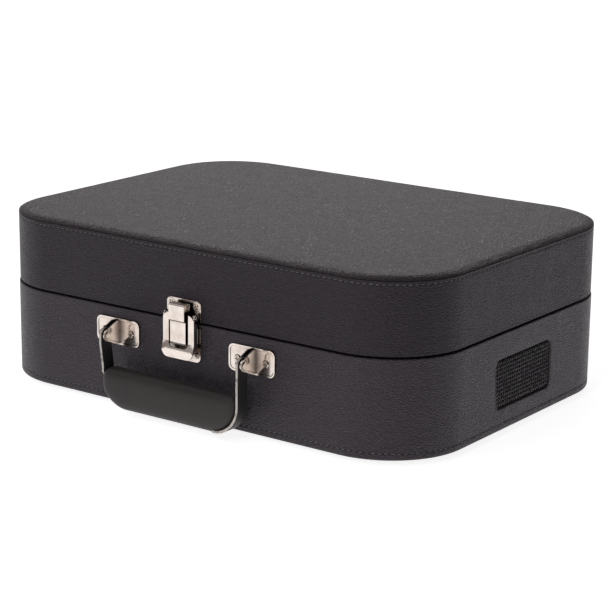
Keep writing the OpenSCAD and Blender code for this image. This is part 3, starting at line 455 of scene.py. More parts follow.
@dataclass(frozen=True)
class Fibreboard(Finish):
    """Stained fibreboard that the case is made of."""

    dark: Colour
    light: Colour

    def lay(self, graph: NodeGraph) -> None:
        """Lays short fibres along the board."""
        fibres = graph.noise(1.4 * MM, 5.0, graph.warp(graph.stretch((0.5, 1, 1)), 6 * MM, 3 * MM))
        graph.drive("Base Color", graph.blend(graph.spread(fibres, 0.35, 0.7, 0, 1), self.dark, self.light))
        graph.drive("Roughness", graph.spread(fibres, 0.3, 0.7, 0.75, 0.9))
        graph.emboss(fibres, 0.1 * MM)


BLACK_PEBBLE = PebbledLeatherette("pebbled_leatherette", (0.0102, 0.0080, 0.0104), (0.0186, 0.0148, 0.0192))
TOP_PEBBLE = PebbledLeatherette(
    "padded_top_leatherette",
    (0.0104, 0.0082, 0.0090),
    (0.0200, 0.0160, 0.0172),
    pebble=1.9 * MM,
    depth=0.36 * MM,
    gloss=0.24,
    matt=0.5,
    tint=(1.0, 0.85, 0.89, 1.0),
    run=(1.0, 1.0, 1.0),
)
# Painted shade: a copy of the base's leatherette with darker crowns, so that the lid's band shows darker than
# the base.
SHADED_LID_PEBBLE = replace(BLACK_PEBBLE, name="lid_leatherette", crown=(0.0160, 0.0127, 0.0165), specular=0.32)
GRIP_SKIN = SmoothLeatherette("grip_leatherette", (0.0185, 0.0152, 0.0148), (0.0290, 0.0242, 0.0236), 0.26)
STRAP_SKIN = SmoothLeatherette("strap_leatherette", (0.0085, 0.0076, 0.0075), (0.0150, 0.0134, 0.0132), 0.26)
STRAP_EDGE = CutEdge("strap_cut_edge", (0.60, 0.565, 0.52), (0.26, 0.235, 0.21))
NICKEL = PlatedMetal("bright_nickel", (0.73, 0.66, 0.605), (0.52, 0.44, 0.385), shine=0.1, haze=0.18)
SCREW_STEEL = PlatedMetal("plated_screw", (0.56, 0.49, 0.44), (0.26, 0.21, 0.17), shine=0.14, haze=0.26)
HINGE_STEEL = PlatedMetal("hinge_steel", (0.66, 0.65, 0.63), (0.46, 0.43, 0.40), shine=0.25, haze=0.42)
STITCH = WovenThread("stitch_thread", (0.022, 0.020, 0.021), (0.145, 0.136, 0.132), rough=0.4)
# Painted shade: near-black colours for the flat pieces that stand for the shade inside the needle holes.
NEEDLE_HOLE_SHADE = Rubber("needle_hole_shade", (0.0016, 0.0015, 0.0016), (0.003, 0.0028, 0.003))
GRILLE_THREAD = WovenThread(
    "grille_thread", (0.0015, 0.0013, 0.0015), (0.0050, 0.0045, 0.0050), rough=0.8, specular=0.12
)
GRILLE_GREY_THREAD = WovenThread(
    "grille_grey_thread", (0.022, 0.020, 0.022), (0.150, 0.138, 0.148), rough=0.7, specular=0.15
)
GRILLE_BACK = Felt("grille_backing", (0.0012, 0.0011, 0.0012), (0.003, 0.0028, 0.003))
LINING = Felt("lid_lining_cloth", (0.020, 0.020, 0.023), (0.060, 0.060, 0.068))
DECK_PLASTIC = MouldedPlastic(
    "deck_plastic", (0.028, 0.028, 0.030), (0.040, 0.040, 0.043), 0.7 * MM, 0.07 * MM, shine=0.42
)
ARM_PLASTIC = MouldedPlastic(
    "arm_plastic", (0.012, 0.012, 0.013), (0.022, 0.022, 0.023), 0.4 * MM, 0.02 * MM, shine=0.32
)
KNOB_PLASTIC = MouldedPlastic(
    "knob_plastic", (0.014, 0.014, 0.015), (0.026, 0.026, 0.027), shine=0.24, coat=0.3
)
SLIDER_PLASTIC = MouldedPlastic("slider_plastic", (0.36, 0.36, 0.36), (0.44, 0.44, 0.43))
SOCKET_PLASTIC = MouldedPlastic("socket_plastic", (0.010, 0.010, 0.010), (0.018, 0.018, 0.018))
RED_PLASTIC = MouldedPlastic("red_plastic", (0.30, 0.012, 0.012), (0.40, 0.02, 0.018), shine=0.25, coat=0.4)
WHITE_PLASTIC = MouldedPlastic("white_plastic", (0.62, 0.62, 0.60), (0.72, 0.72, 0.70), shine=0.3)
PRINT_INK = MouldedPlastic("print_ink", (0.42, 0.42, 0.40), (0.54, 0.54, 0.52), 0.4 * MM, 0.01 * MM, 0.5)
FOOT_RUBBER = Rubber("foot_rubber", (0.012, 0.012, 0.012), (0.05, 0.048, 0.045))
BELT_RUBBER = Rubber("belt_rubber", (0.010, 0.010, 0.010), (0.03, 0.03, 0.03))
BOARD = Fibreboard("stained_board", (0.010, 0.009, 0.008), (0.035, 0.030, 0.026))
UNDERSIDE_BOARD = Fibreboard("underside_board", (0.018, 0.017, 0.016), (0.045, 0.042, 0.038))
SPEAKER_PAINT = MouldedPlastic("speaker_paint", (0.02, 0.02, 0.022), (0.035, 0.035, 0.037))
BOARD_GREEN = MouldedPlastic("circuit_board_green", (0.01, 0.07, 0.03), (0.02, 0.12, 0.05), coat=0.3)
WIRE_RED = MouldedPlastic("lead_insulation", (0.32, 0.02, 0.015), (0.42, 0.04, 0.03))
BRASS = PlatedMetal("turned_brass", (0.80, 0.60, 0.28), (0.55, 0.38, 0.15), shine=0.2, haze=0.34)
SATIN_ALUMINIUM = PlatedMetal("satin_aluminium", (0.78, 0.78, 0.78), (0.66, 0.66, 0.66), shine=0.24, haze=0.4)
WEIGHT_PAINT = MouldedPlastic("weight_paint", (0.02, 0.02, 0.021), (0.03, 0.03, 0.032), shine=0.22, coat=0.5)


# Shapes ---------------------------------------------------------------------


@dataclass(frozen=True)
class Station:
    """One stop on a walk round an outline: its point, its outward direction and the distance run."""

    x: float
    y: float
    out_x: float
    out_y: float
    run: float

    def at(self, inset: float, z: float) -> Vector:
        """The point drawn in from the outline by inset, at height z."""
        return Vector((self.x - self.out_x * inset, self.y - self.out_y * inset, z))


@dataclass(frozen=True)
class Outline:
    """Rounded rectangle seen from above, walked counter-clockwise from the middle of its front."""

    half_w: float
    half_d: float
    radius: float
    centre_y: float

    def length(self) -> float:
        """Distance once round."""
        straight = 4 * (self.half_w + self.half_d - 2 * self.radius)
        return straight + math.tau * self.radius

    def station(self, run: float) -> Station:
        """The stop at a distance run along the outline.

        Args:
            run: Distance from the middle of the front.

        Returns:
            The stop there.
        """
        run = run % self.length()
        flat_w, flat_d = self.half_w - self.radius, self.half_d - self.radius
        arc = self.radius * math.pi / 2
        legs = [
            (flat_w, Vector((0, -self.half_d)), Vector((1, 0))),
            (arc, Vector((flat_w, -flat_d)), -90.0),
            (2 * flat_d, Vector((self.half_w, -flat_d)), Vector((0, 1))),
            (arc, Vector((flat_w, flat_d)), 0.0),
            (2 * flat_w, Vector((flat_w, self.half_d)), Vector((-1, 0))),
            (arc, Vector((-flat_w, flat_d)), 90.0),
            (2 * flat_d, Vector((-self.half_w, flat_d)), Vector((0, -1))),
            (arc, Vector((-flat_w, -flat_d)), 180.0),
            (flat_w, Vector((-flat_w, -self.half_d)), Vector((1, 0))),
        ]
        left = run
        for length, start, course in legs:
            if left <= length + 1e-9:
                break
            left -= length
        if isinstance(course, float):
            angle = math.radians(course) + left / self.radius
            out = Vector((math.cos(angle), math.sin(angle)))
            point = start + out * self.radius
        else:
            out = Vector((course.y, -course.x))
            point = start + course * left
        return Station(point.x, point.y + self.centre_y, out.x, out.y, run)

    def walk(self, straight_step: float = 5 * MM, arc_step: float = 2.2 * MM) -> list[Station]:
        """Stops all the way round, with one at each end of every straight.

        Args:
            straight_step: Longest gap between stops on a straight.
            arc_step: Longest gap between stops on a corner.

        Returns:
            The stops in order, without repeating the first.
        """
        flat_w, flat_d = self.half_w - self.radius, self.half_d - self.radius
        arc = self.radius * math.pi / 2
        stops, run = [], 0.0
        straights = [flat_w, 2 * flat_d, 2 * flat_w, 2 * flat_d, flat_w]
        for number, straight in enumerate(straights):
            legs = [(straight, straight_step)] + [(arc, arc_step)] * (number < len(straights) - 1)
            for length, step in legs:
                count = max(1, math.ceil(length / step))
                stops += [self.station(run + length * k / count) for k in range(count)]
                run += length
        return stops


def bend(inset: float, z: float, radius: float, start: float, end: float, count: int) -> list[ProfilePoint]:
    """Points of a round bend in a profile.

    Args:
        inset: The bend's centre, in from the outline.
        z: The bend's centre height.
        radius: Its radius.
        start: First angle in degrees, 0 towards the outside and 90 up.
        end: Last angle.
        count: Steps between the two.

    Returns:
        Profile points as (inset, z, number of the finish), all with the first finish.
    """
    angles = [math.radians(start + (end - start) * k / count) for k in range(count + 1)]
    return [(inset - radius * math.cos(a), z + radius * math.sin(a), 0) for a in angles]


def sew_groove(z_low: float, z_high: float, z_seam: float, depth: float) -> list[ProfilePoint]:
    """An upright wall with the shallow groove that a line of stitches pulls into it.

    Args:
        z_low: Start of the wall.
        z_high: End of the wall.
        z_seam: Height of the stitches.
        depth: Depth of the groove.

    Returns:
        Profile points from low to high.
    """
    half, width, coarse, fine = 1.8 * MM, 0.55 * MM, 5.5 * MM, 0.3 * MM
    points: list[ProfilePoint] = []
    near, far = z_seam - half, z_seam + half
    for low, high, step in [(z_low, near, coarse), (near, far, fine), (far, z_high, coarse)]:
        if high <= low:
            continue
        count = max(1, math.ceil((high - low) / step))
        for k in range(count):
            z = low + (high - low) * k / count
            points.append((depth * math.exp(-(((z - z_seam) / width) ** 2)), z, 0))
    points.append((0.0, z_high, 0))
    return points


class Shape:
    """A mesh in the making, in the frame's own coordinates."""

    END_BULGE = 0.6

    def __init__(self) -> None:
        """Starts with nothing."""
        self.bm = bmesh.new()

    def ring(self, points: Sequence[Vector]) -> list[bmesh.types.BMVert]:
        """Adds the points of one ring."""
        return [self.bm.verts.new(p) for p in points]

    def skin(
        self,
        rings: Sequence[Sequence[bmesh.types.BMVert]],
        tags: Optional[Sequence[int]] = None,
        round_trip: bool = False,
    ) -> None:
        """Lays faces between closed rings of equal length.

        Args:
            rings: The rings in order.
            tags: Number of the finish for each gap between two neighbours in a ring.
            round_trip: Whether the last ring joins the first.
        """
        pairs = list(zip(rings, rings[1:]))
        if round_trip:
            pairs.append((rings[-1], rings[0]))
        for one, two in pairs:
            for j in range(len(one)):
                k = (j + 1) % len(one)
                face = self.bm.faces.new((one[j], two[j], two[k], one[k]))
                face.material_index = tags[j] if tags else 0

    def stitch(
        self,
        one: Sequence[bmesh.types.BMVert],
        two: Sequence[bmesh.types.BMVert],
        turn: Callable[[bmesh.types.BMVert], float],
    ) -> None:
        """Joins two rings that have different numbers of vertices.

        Args:
            one: The first ring's vertices, in any order.
            two: The second ring's vertices, in any order.
            turn: Gives a vertex's angle round the shared middle, from 0 to a full turn.
        """
        rings = [sorted(ring, key=turn) for ring in (one, two)]
        angles = [[turn(v) for v in ring] + [turn(ring[0]) + math.tau] for ring in rings]
        at = [0, 0]
        while at[0] < len(rings[0]) or at[1] < len(rings[1]):
            nexts = [angles[k][at[k] + 1] if at[k] < len(rings[k]) else math.inf for k in (0, 1)]
            k = 0 if nexts[0] <= nexts[1] else 1
            here, there = (rings[m][at[m] % len(rings[m])] for m in (0, 1))
            at[k] += 1
            self.bm.faces.new((here, there, rings[k][at[k] % len(rings[k])]))

    def fan(self, ring: Sequence[bmesh.types.BMVert], tip: Vector) -> None:
        """Closes a ring with triangles to a tip."""
        middle = self.bm.verts.new(tip)
        for j, vert in enumerate(ring):
            self.bm.faces.new((vert, ring[(j + 1) % len(ring)], middle))

    def swept(self, stops: Sequence[Station], profile: Sequence[ProfilePoint]) -> None:
        """Sweeps a closed profile round an outline.

        Args:
            stops: The outline's stops.
            profile: Points as (inset, z, number of the finish), in order round the profile.
        """
        rings = [self.ring([stop.at(point[0], point[1]) for point in profile]) for stop in stops]
        self.skin(rings, tags=[point[2] for point in profile], round_trip=True)

    def tube(self, path: Sequence[Vector], radius: float, sides: int, up: Vector, flat: float = 1.0) -> None:
        """A closed tube along a path, with round ends.

        Args:
            path: Points of its centre line.
            radius: Half its width across `up`.
            sides: Corners round the tube.
            up: Direction in which it is flattened.
            flat: Its thickness along `up` as a share of its width.
        """
        rings = []
        for k, point in enumerate(path):
            along = (path[min(k + 1, len(path) - 1)] - path[max(k - 1, 0)]).normalized()
            across = along.cross(up).normalized()
            rise = across.cross(along).normalized()
            turns = [math.tau * (s + 0.5) / sides for s in range(sides)]
            spokes = [(across * math.cos(t) + rise * math.sin(t) * flat) * radius for t in turns]
            rings.append(self.ring([point + spoke for spoke in spokes]))
        self.skin(rings)
        ends = [(rings[0], path[0] - path[1], path[0]), (rings[-1], path[-1] - path[-2], path[-1])]
        for ring, course, point in ends:
            self.fan(ring, point + course.normalized() * radius * self.END_BULGE)

    def finish(
        self,
        name: str,
        finishes: Sequence[Finish],
        body: Body,
        slot: Slot,
        replaces: Sequence[str] = (),
        sharp: float = 50.0,
    ) -> bpy.types.Object:
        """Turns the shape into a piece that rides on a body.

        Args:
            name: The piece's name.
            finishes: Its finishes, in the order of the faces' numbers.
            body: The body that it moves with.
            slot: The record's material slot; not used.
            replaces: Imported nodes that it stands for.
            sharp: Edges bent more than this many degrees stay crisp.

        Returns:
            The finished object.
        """
        bmesh.ops.recalc_face_normals(self.bm, faces=self.bm.faces[:])
        mesh = bpy.data.meshes.new(name)
        self.bm.to_mesh(mesh)
        self.bm.free()
        mesh.polygons.foreach_set("use_smooth", [True] * len(mesh.polygons))
        mesh.set_sharp_from_angle(angle=math.radians(sharp))
        for finish in finishes:
            mesh.materials.append(finish.material())
        piece = bpy.data.objects.new(name, mesh)
        bpy.context.scene.collection.objects.link(piece)
        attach(piece, body.value)
        if replaces:
            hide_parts(*replaces)
        LOG.info("piece %s: %d faces, rides on %s", name, len(mesh.polygons), body.value)
        return piece


def ripple(bm: bmesh.types.BMesh, size: float, reach: float) -> None:
    """Moves vertices a little along their normals by smooth noise, as a hand-covered board has.

    Args:
        bm: The mesh.
        size: Length of the ripples.
        reach: How far a vertex may move.
    """
    bm.normal_update()
    moves = [(v, noise.noise(v.co / size) * reach * v.normal) for v in bm.verts]
    for vert, move in moves:
        vert.co += move


def rounded_loop(half_w: float, half_h: float, radius: float, per_corner: int) -> list[tuple[float, float]]:
    """Points round a flat rounded rectangle about the origin, counter-clockwise."""
    points = []
    for corner in range(4):
        start = corner * math.pi / 2
        sign_u = 1 if corner in (0, 3) else -1
        sign_v = 1 if corner in (0, 1) else -1
        for k in range(per_corner + 1):
            angle = start + math.pi / 2 * k / per_corner
            u = sign_u * (half_w - radius) + radius * math.cos(angle)
            v = sign_v * (half_h - radius) + radius * math.sin(angle)
            points.append((u, v))
    return points


# Case -----------------------------------------------------------------------


@dataclass
class CaseSizes:
    """Sizes of the case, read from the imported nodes."""

    half_w: float
    half_d: float
    centre_y: float
    base_low: float
    rim: float
    lid_low: float
    band_top: float
    lid_top: float
    lid_inset: float
    corner: float
    wall_in: float
    deck_top: float
    lining_low: float

    @classmethod
    def read(cls, frame: dict) -> "CaseSizes":
        """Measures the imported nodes.


        Returns:
            The case's sizes.
        """
        low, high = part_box("base_leatherette")
        lid_low, lid_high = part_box("lid_leatherette")
        half_w, half_d, centre_y = high.x, (high.y - low.y) / 2, (high.y + low.y) / 2
        points = frame["nodes"]["base_leatherette"].data.vertices
        reach = max(abs(v.co.x) + abs(v.co.y - centre_y) for v in points)
        corner = (half_w + half_d - reach) / (2 - math.sqrt(2))
        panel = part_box("deck_plate")[1].x
        slack = 0.3 * MM
        return cls(
            half_w=half_w,
            half_d=half_d,
            centre_y=centre_y,
            base_low=low.z,
            rim=high.z,
            lid_low=lid_low.z,
            band_top=lid_high.z,
            lid_top=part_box("lid_top_cover")[1].z,
            lid_inset=half_w - lid_high.x,
            corner=corner,
            wall_in=half_w - panel - slack,
            deck_top=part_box("volume_knob")[1].z - KNOB_ABOVE_DECK,
            lining_low=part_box("lid_lining")[0].z,
        )

    def outline(self, inset: float = 0.0) -> Outline:
        """The case's plan, drawn in by inset."""
        return Outline(self.half_w - inset, self.half_d - inset, self.corner - inset, self.centre_y)


@dataclass
class Shell:
    """What both leatherette shells share: the skin, its fold over a rim and its sewn groove."""

    case: CaseSizes
    skin: float = 0.72 * MM
    rim_bend: float = 0.9 * MM
    groove: float = 0.34 * MM
    ripple_size: float = 55 * MM
    ripple_reach: float = 0.05 * MM

    def inside(self) -> tuple[float, float]:
        """Insets of the skin's inner side and of its hidden back, on the inside of the wall."""
        return self.case.wall_in + 0.2 * MM, self.case.wall_in + 0.03 * MM


@dataclass
class BaseShell(Shell):
    """Leatherette on the base: turned under the bottom, over the rim and in at the speakers."""

    turn_under: float = 8.4 * MM
    bottom_bend: float = 1.6 * MM
    seam_up: float = 4.7 * MM
    lip: float = 1.0 * MM
    window_margin: float = 3.2 * MM
    window_gap: float = 0.1 * MM
    window_corner: float = 5.0 * MM

    def profile(self) -> list[ProfilePoint]:
        """The skin's cross-section: up the outside, over the rim, down inside and back."""
        low, rim = self.case.base_low, self.case.rim
        inner, hidden = self.inside()
        b, t = self.bottom_bend, self.rim_bend
        points: list[ProfilePoint] = [(self.turn_under, low, 0), (self.turn_under * 0.6, low, 0)]
        points += bend(b, low + b, b, -90, 0, 8)
        points += sew_groove(low + b + 0.4 * MM, rim - t - 0.3 * MM, low + self.seam_up, self.groove)
        points += bend(t, rim - t, t, 0, 90, 6)
        points += bend(inner - t, rim - t, t, 90, 180, 5)
        low_inside = self.case.deck_top + 0.15 * MM
        points += [(inner, low_inside, 0), (hidden, low_inside, 0), (hidden, rim - self.skin, 0)]
        points += [(self.skin, rim - self.skin, 0), (self.skin, low + self.skin, 0)]
        points += [(self.turn_under, low + self.skin, 0)]
        return points

    def cut_window(self, shape: Shape, side: Side) -> None:
        """Opens the skin over a speaker, with a rolled lip.

        Args:
            shape: The swept skin.
            side: The end of the case.
        """
        low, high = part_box(f"{side.name.lower()}_grille")
        y_mid, z_mid = (low.y + high.y) / 2, (low.z + high.z) / 2
        half_w, half_h = (high.y - low.y) / 2 + self.window_gap, (high.z - low.z) / 2 + self.window_gap
        face_x = side.value * self.case.half_w

        def near(face: bmesh.types.BMFace) -> bool:
            """True for a face over the window."""
            middle = face.calc_center_median()
            return (
                abs(middle.x - face_x) < 2 * self.skin
                and abs(middle.y - y_mid) < half_w + self.window_margin
                and abs(middle.z - z_mid) < half_h + self.window_margin
                and abs(face.normal.x) > 0.5
            )

        shape.bm.normal_update()
        bmesh.ops.delete(shape.bm, geom=[f for f in shape.bm.faces if near(f)], context="FACES")
        split = abs(face_x) - self.skin / 2
        rim = [v for v in shape.bm.verts if v.is_boundary and v.co.x * side.value > 0]
        outer = [v for v in rim if abs(v.co.x) > split]
        inner = [v for v in rim if abs(v.co.x) <= split]

        def turn(vert: bmesh.types.BMVert) -> float:
            """Angle of a vertex round the window's middle, with the window squared up."""
            return math.atan2((vert.co.z - z_mid) / half_h, (vert.co.y - y_mid) / half_w) % math.tau

        rings = []
        for grow, depth in [(1, 0), (0.62, 0.08), (0.3, 0.3), (0.08, 0.62), (0.0, self.skin / self.lip)]:
            more = grow * self.lip
            loop = rounded_loop(half_w + more, half_h + more, self.window_corner + more, 8)
            x = face_x - side.value * depth * self.lip
            rings.append(shape.ring([Vector((x, y_mid + u, z_mid + v)) for u, v in loop]))
        shape.skin(rings)
        for loop, ring in [(outer, rings[0]), (inner, rings[-1])]:
            shape.stitch(loop, ring, turn)

    def build(self) -> bpy.types.Object:
        """Builds the skin and dresses it."""
        shape = Shape()
        shape.swept(self.case.outline().walk(), self.profile())
        for side in Side:
            self.cut_window(shape, side)
        ripple(shape.bm, self.ripple_size, self.ripple_reach)
        return shape.finish("base_skin", [BLACK_PEBBLE], Body.BASE, Slot.LEATHERETTE, ["base_leatherette"])


@dataclass
class LidShell(Shell):
    """Leatherette band round the lid, folded over its rim and at its top edge, with a lined inside."""

    top_bend: float = 0.6 * MM
    seam_down: float = 2.3 * MM

    def profile(self) -> list[ProfilePoint]:
        """The band's cross-section: out along the rim, up the outside, and back down inside."""
        low, top = self.case.lid_low, self.case.band_top
        inner, hidden = self.inside()
        r, t = self.rim_bend, self.top_bend
        lined = self.case.lining_low - 0.2 * MM
        points = bend(inner - r, low + r, r, 180, 270, 5)
        points += bend(r, low + r, r, -90, 0, 6)
        points += sew_groove(low + r + 0.3 * MM, top - t - 0.2 * MM, top - self.seam_down, self.groove)
        points += bend(t, top - t, t, 0, 90, 5)
        points += [(self.skin, top - 0.1 * MM, 0), (self.skin, low + self.skin, 0)]
        points += [(hidden, low + self.skin, 1), (hidden, lined, 1), (inner, lined, 1)]
        return points

    def build(self) -> bpy.types.Object:
        """Builds the band and dresses it."""
        shape = Shape()
        shape.swept(self.case.outline(self.case.lid_inset).walk(), self.profile())
        ripple(shape.bm, self.ripple_size, self.ripple_reach)
        return shape.finish("lid_skin", [SHADED_LID_PEBBLE, LINING], Body.LID, Slot.LEATHERETTE, ["lid_leatherette"])


@dataclass
class LidCover:
    """Padded cover on the lid, rolled over at its edge."""

    case: CaseSizes
    roll_width: float = 7 * MM
    roll_steps: int = 20
    tuck: float = 0.9 * MM
    crown: float = 0.2 * MM
    softness: float = 1.05
    fullness: float = 1.8
    side_gap: float = 0.12 * MM
    floor_gap: float = 0.02 * MM
    belly_up: float = 0.5 * MM
    dimple: float = 0.12 * MM
    dimple_size: float = 38 * MM

    def build(self) -> bpy.types.Object:
        """Builds the cover as one closed pad."""
        top, floor = self.case.lid_top, self.case.band_top + self.floor_gap
        stops = self.case.outline(self.case.lid_inset).walk()
        belly = self.case.band_top + self.belly_up
        profile = [(self.roll_width, floor), (self.tuck, floor), (0.45 * MM, belly - 0.32 * MM)]
        profile += [(0.2 * MM, belly - 0.18 * MM), (self.side_gap, belly)]
        rise = top - self.crown - belly
        for k in range(1, self.roll_steps + 1):
            share = k / self.roll_steps
            inset = self.side_gap + self.roll_width * share**self.softness
            profile.append((inset, belly + rise * (1 - (1 - share) ** self.fullness)))
        shape = Shape()
        rings = [shape.ring([stop.at(inset, z) for stop in stops]) for inset, z in profile]
        edge = [v.co.copy() for v in rings[-1]]
        centre = Vector((0, self.case.centre_y, 0))
        for k in range(1, 16):
            share = 1 - 0.06 * k
            z = top - self.crown * share**2
            flat = [centre + (p - centre) * share for p in edge]
            rings.append(shape.ring([Vector((p.x, p.y, z)) for p in flat]))
        shape.skin(rings)
        shape.fan(rings[-1], Vector((0, self.case.centre_y, top)))
        shape.fan(rings[0], Vector((0, self.case.centre_y, floor)))
        for vert in shape.bm.verts:
            if vert.co.z > belly + rise * 0.5:
                vert.co.z += (noise.noise(vert.co / self.dimple_size) - 0.6) * self.dimple
        piece = shape.finish("lid_padded_cover", [TOP_PEBBLE], Body.LID, Slot.LID_COVER, ["lid_top_cover"])
        return piece


@dataclass
class StitchLine:
    """A row of stitches round the case, with near-black pieces between them as painted shade in the needle
    holes.
    """

    name: str
    outline: Outline
    z: float
    body: Body
    depth: float = 0.34 * MM
    pitch: float = 4.0 * MM
    length: float = 2.5 * MM
    thread: float = 0.34 * MM
    dive: float = 0.55 * MM
    slant: float = 0.14 * MM
    hole: float = 0.42 * MM

    def thread_path(self, middle: float) -> list[Vector]:
        """Centre line of one stitch, its ends pulled into the leatherette."""
        path = []
        for share in (-1.0, -0.75, -0.35, 0.0, 0.35, 0.75, 1.0):
            stop = self.outline.station(middle + share * self.length / 2)
            sink = self.depth * 0.62 + self.dive * abs(share) ** 3
            path.append(stop.at(sink, self.z + share * self.slant))
        return path

    def build(self) -> bpy.types.Object:
        """Builds every stitch on the line and, between them, the near-black pieces of painted shade in the
        needle holes.
        """
        shape = Shape()
        count = round(self.outline.length() / self.pitch)
        for k in range(count):
            middle = self.outline.length() * k / count
            stop = self.outline.station(middle)
            shape.tube(self.thread_path(middle), self.thread, 6, up=Vector((stop.out_x, stop.out_y, 0)))
        threads = len(shape.bm.faces)
        # Painted shade: a near-black flattened piece in each gap between stitches, for the shade in the
        # needle hole.
        for k in range(count):
            gap = self.outline.length() * (k + 0.5) / count
            stop = self.outline.station(gap)
            reach = Vector((-stop.out_y, stop.out_x, 0)) * self.hole
            centre = stop.at(self.depth * 0.9, self.z)
            out = Vector((stop.out_x, stop.out_y, 0))
            shape.tube([centre - reach, centre, centre + reach], self.hole, 6, up=out, flat=0.35)
        shape.bm.faces.ensure_lookup_table()
        for face in shape.bm.faces[threads:]:
            face.material_index = 1
        return shape.finish(self.name, [STITCH, NEEDLE_HOLE_SHADE], self.body, Slot.LEATHERETTE)


@dataclass
class WovenGrille:
    """Speaker cloth: real crossing threads on the bias, tucked in all round."""

    case: CaseSizes
    side: Side
    pitch: float = 1.9 * MM
    thread: float = 0.5 * MM
    lift: float = 0.3 * MM
    depth: float = 1.05 * MM
    tuck: float = 0.9 * MM
    corner: float = 4.6 * MM
    trim: float = 0.35 * MM
    edge_roll: float = 0.6 * MM
    backing_t: float = 0.25 * MM

    def build(self) -> bpy.types.Object:
        """Weaves the cloth and lays it in the speaker's opening."""
        low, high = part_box(f"{self.side.name.lower()}_grille")
        self.half_w, self.half_h = (high.y - low.y) / 2 - self.trim, (high.z - low.z) / 2 - self.trim
        y_mid, z_mid = (low.y + high.y) / 2, (low.z + high.z) / 2
        face_x = self.side.value * self.case.half_w
        out = Vector((self.side.value, 0, 0))
        shape = Shape()
        slant = math.sqrt(0.5)
        reach = (self.half_w + self.half_h) * slant
        lines = int(reach / self.pitch)
        starts = []
        for family in (1, -1):
            starts.append(len(shape.bm.faces))
            for line in range(-lines, lines + 1):
                path: list[Vector] = []
                for step in range(-2 * lines - 2, 2 * lines + 3):
                    along, across = step * self.pitch / 2, line * self.pitch
                    u = (along - family * across) * slant
                    v = (family * along + across) * slant
                    gap = self.border(u, v)
                    if gap <= 0:
                        continue
                    sink = self.depth + self.tuck * math.exp(-gap / self.edge_roll)
                    wave = math.cos(math.pi * (step / 2 + line + (0 if family > 0 else 1)))
                    path.append(Vector((face_x, y_mid + u, z_mid + v)) - out * (sink - wave * self.lift))
                if len(path) >= 3:
                    shape.tube(path, self.thread, 5, up=out, flat=0.5)
        starts.append(len(shape.bm.faces))
        front = self.depth + self.tuck + 0.1 * MM
        backing = [front + self.backing_t, front]
        rings = [
            shape.ring([
                Vector((face_x, y_mid + u, z_mid + v)) - out * sink
                for u, v in rounded_loop(self.half_w + 0.2 * MM, self.half_h + 0.2 * MM, self.corner, 6)
            ])
            for sink in backing
        ]
        shape.skin(rings)
        for ring, sink in zip(rings, backing):
            shape.fan(ring, Vector((face_x, y_mid, z_mid)) - out * sink)
        shape.bm.faces.ensure_lookup_table()
        for number, start in enumerate(starts[1:], 1):
            for face in shape.bm.faces[start:]:
                face.material_index = number
        name = self.side.name.lower()
        finishes = [GRILLE_GREY_THREAD, GRILLE_THREAD, GRILLE_BACK]
        return shape.finish(f"{name}_grille_cloth", finishes, Body.BASE, Slot.GRILLE, [f"{name}_grille"])

    def border(self, u: float, v: float) -> float:
        """Distance from a point of the cloth to its edge, negative outside."""
        du = abs(u) - (self.half_w - self.corner)
        dv = abs(v) - (self.half_h - self.corner)
        outside = math.hypot(max(du, 0), max(dv, 0))
        return self.corner - outside - min(max(du, dv), 0)


# Handle ---------------------------------------------------------------------


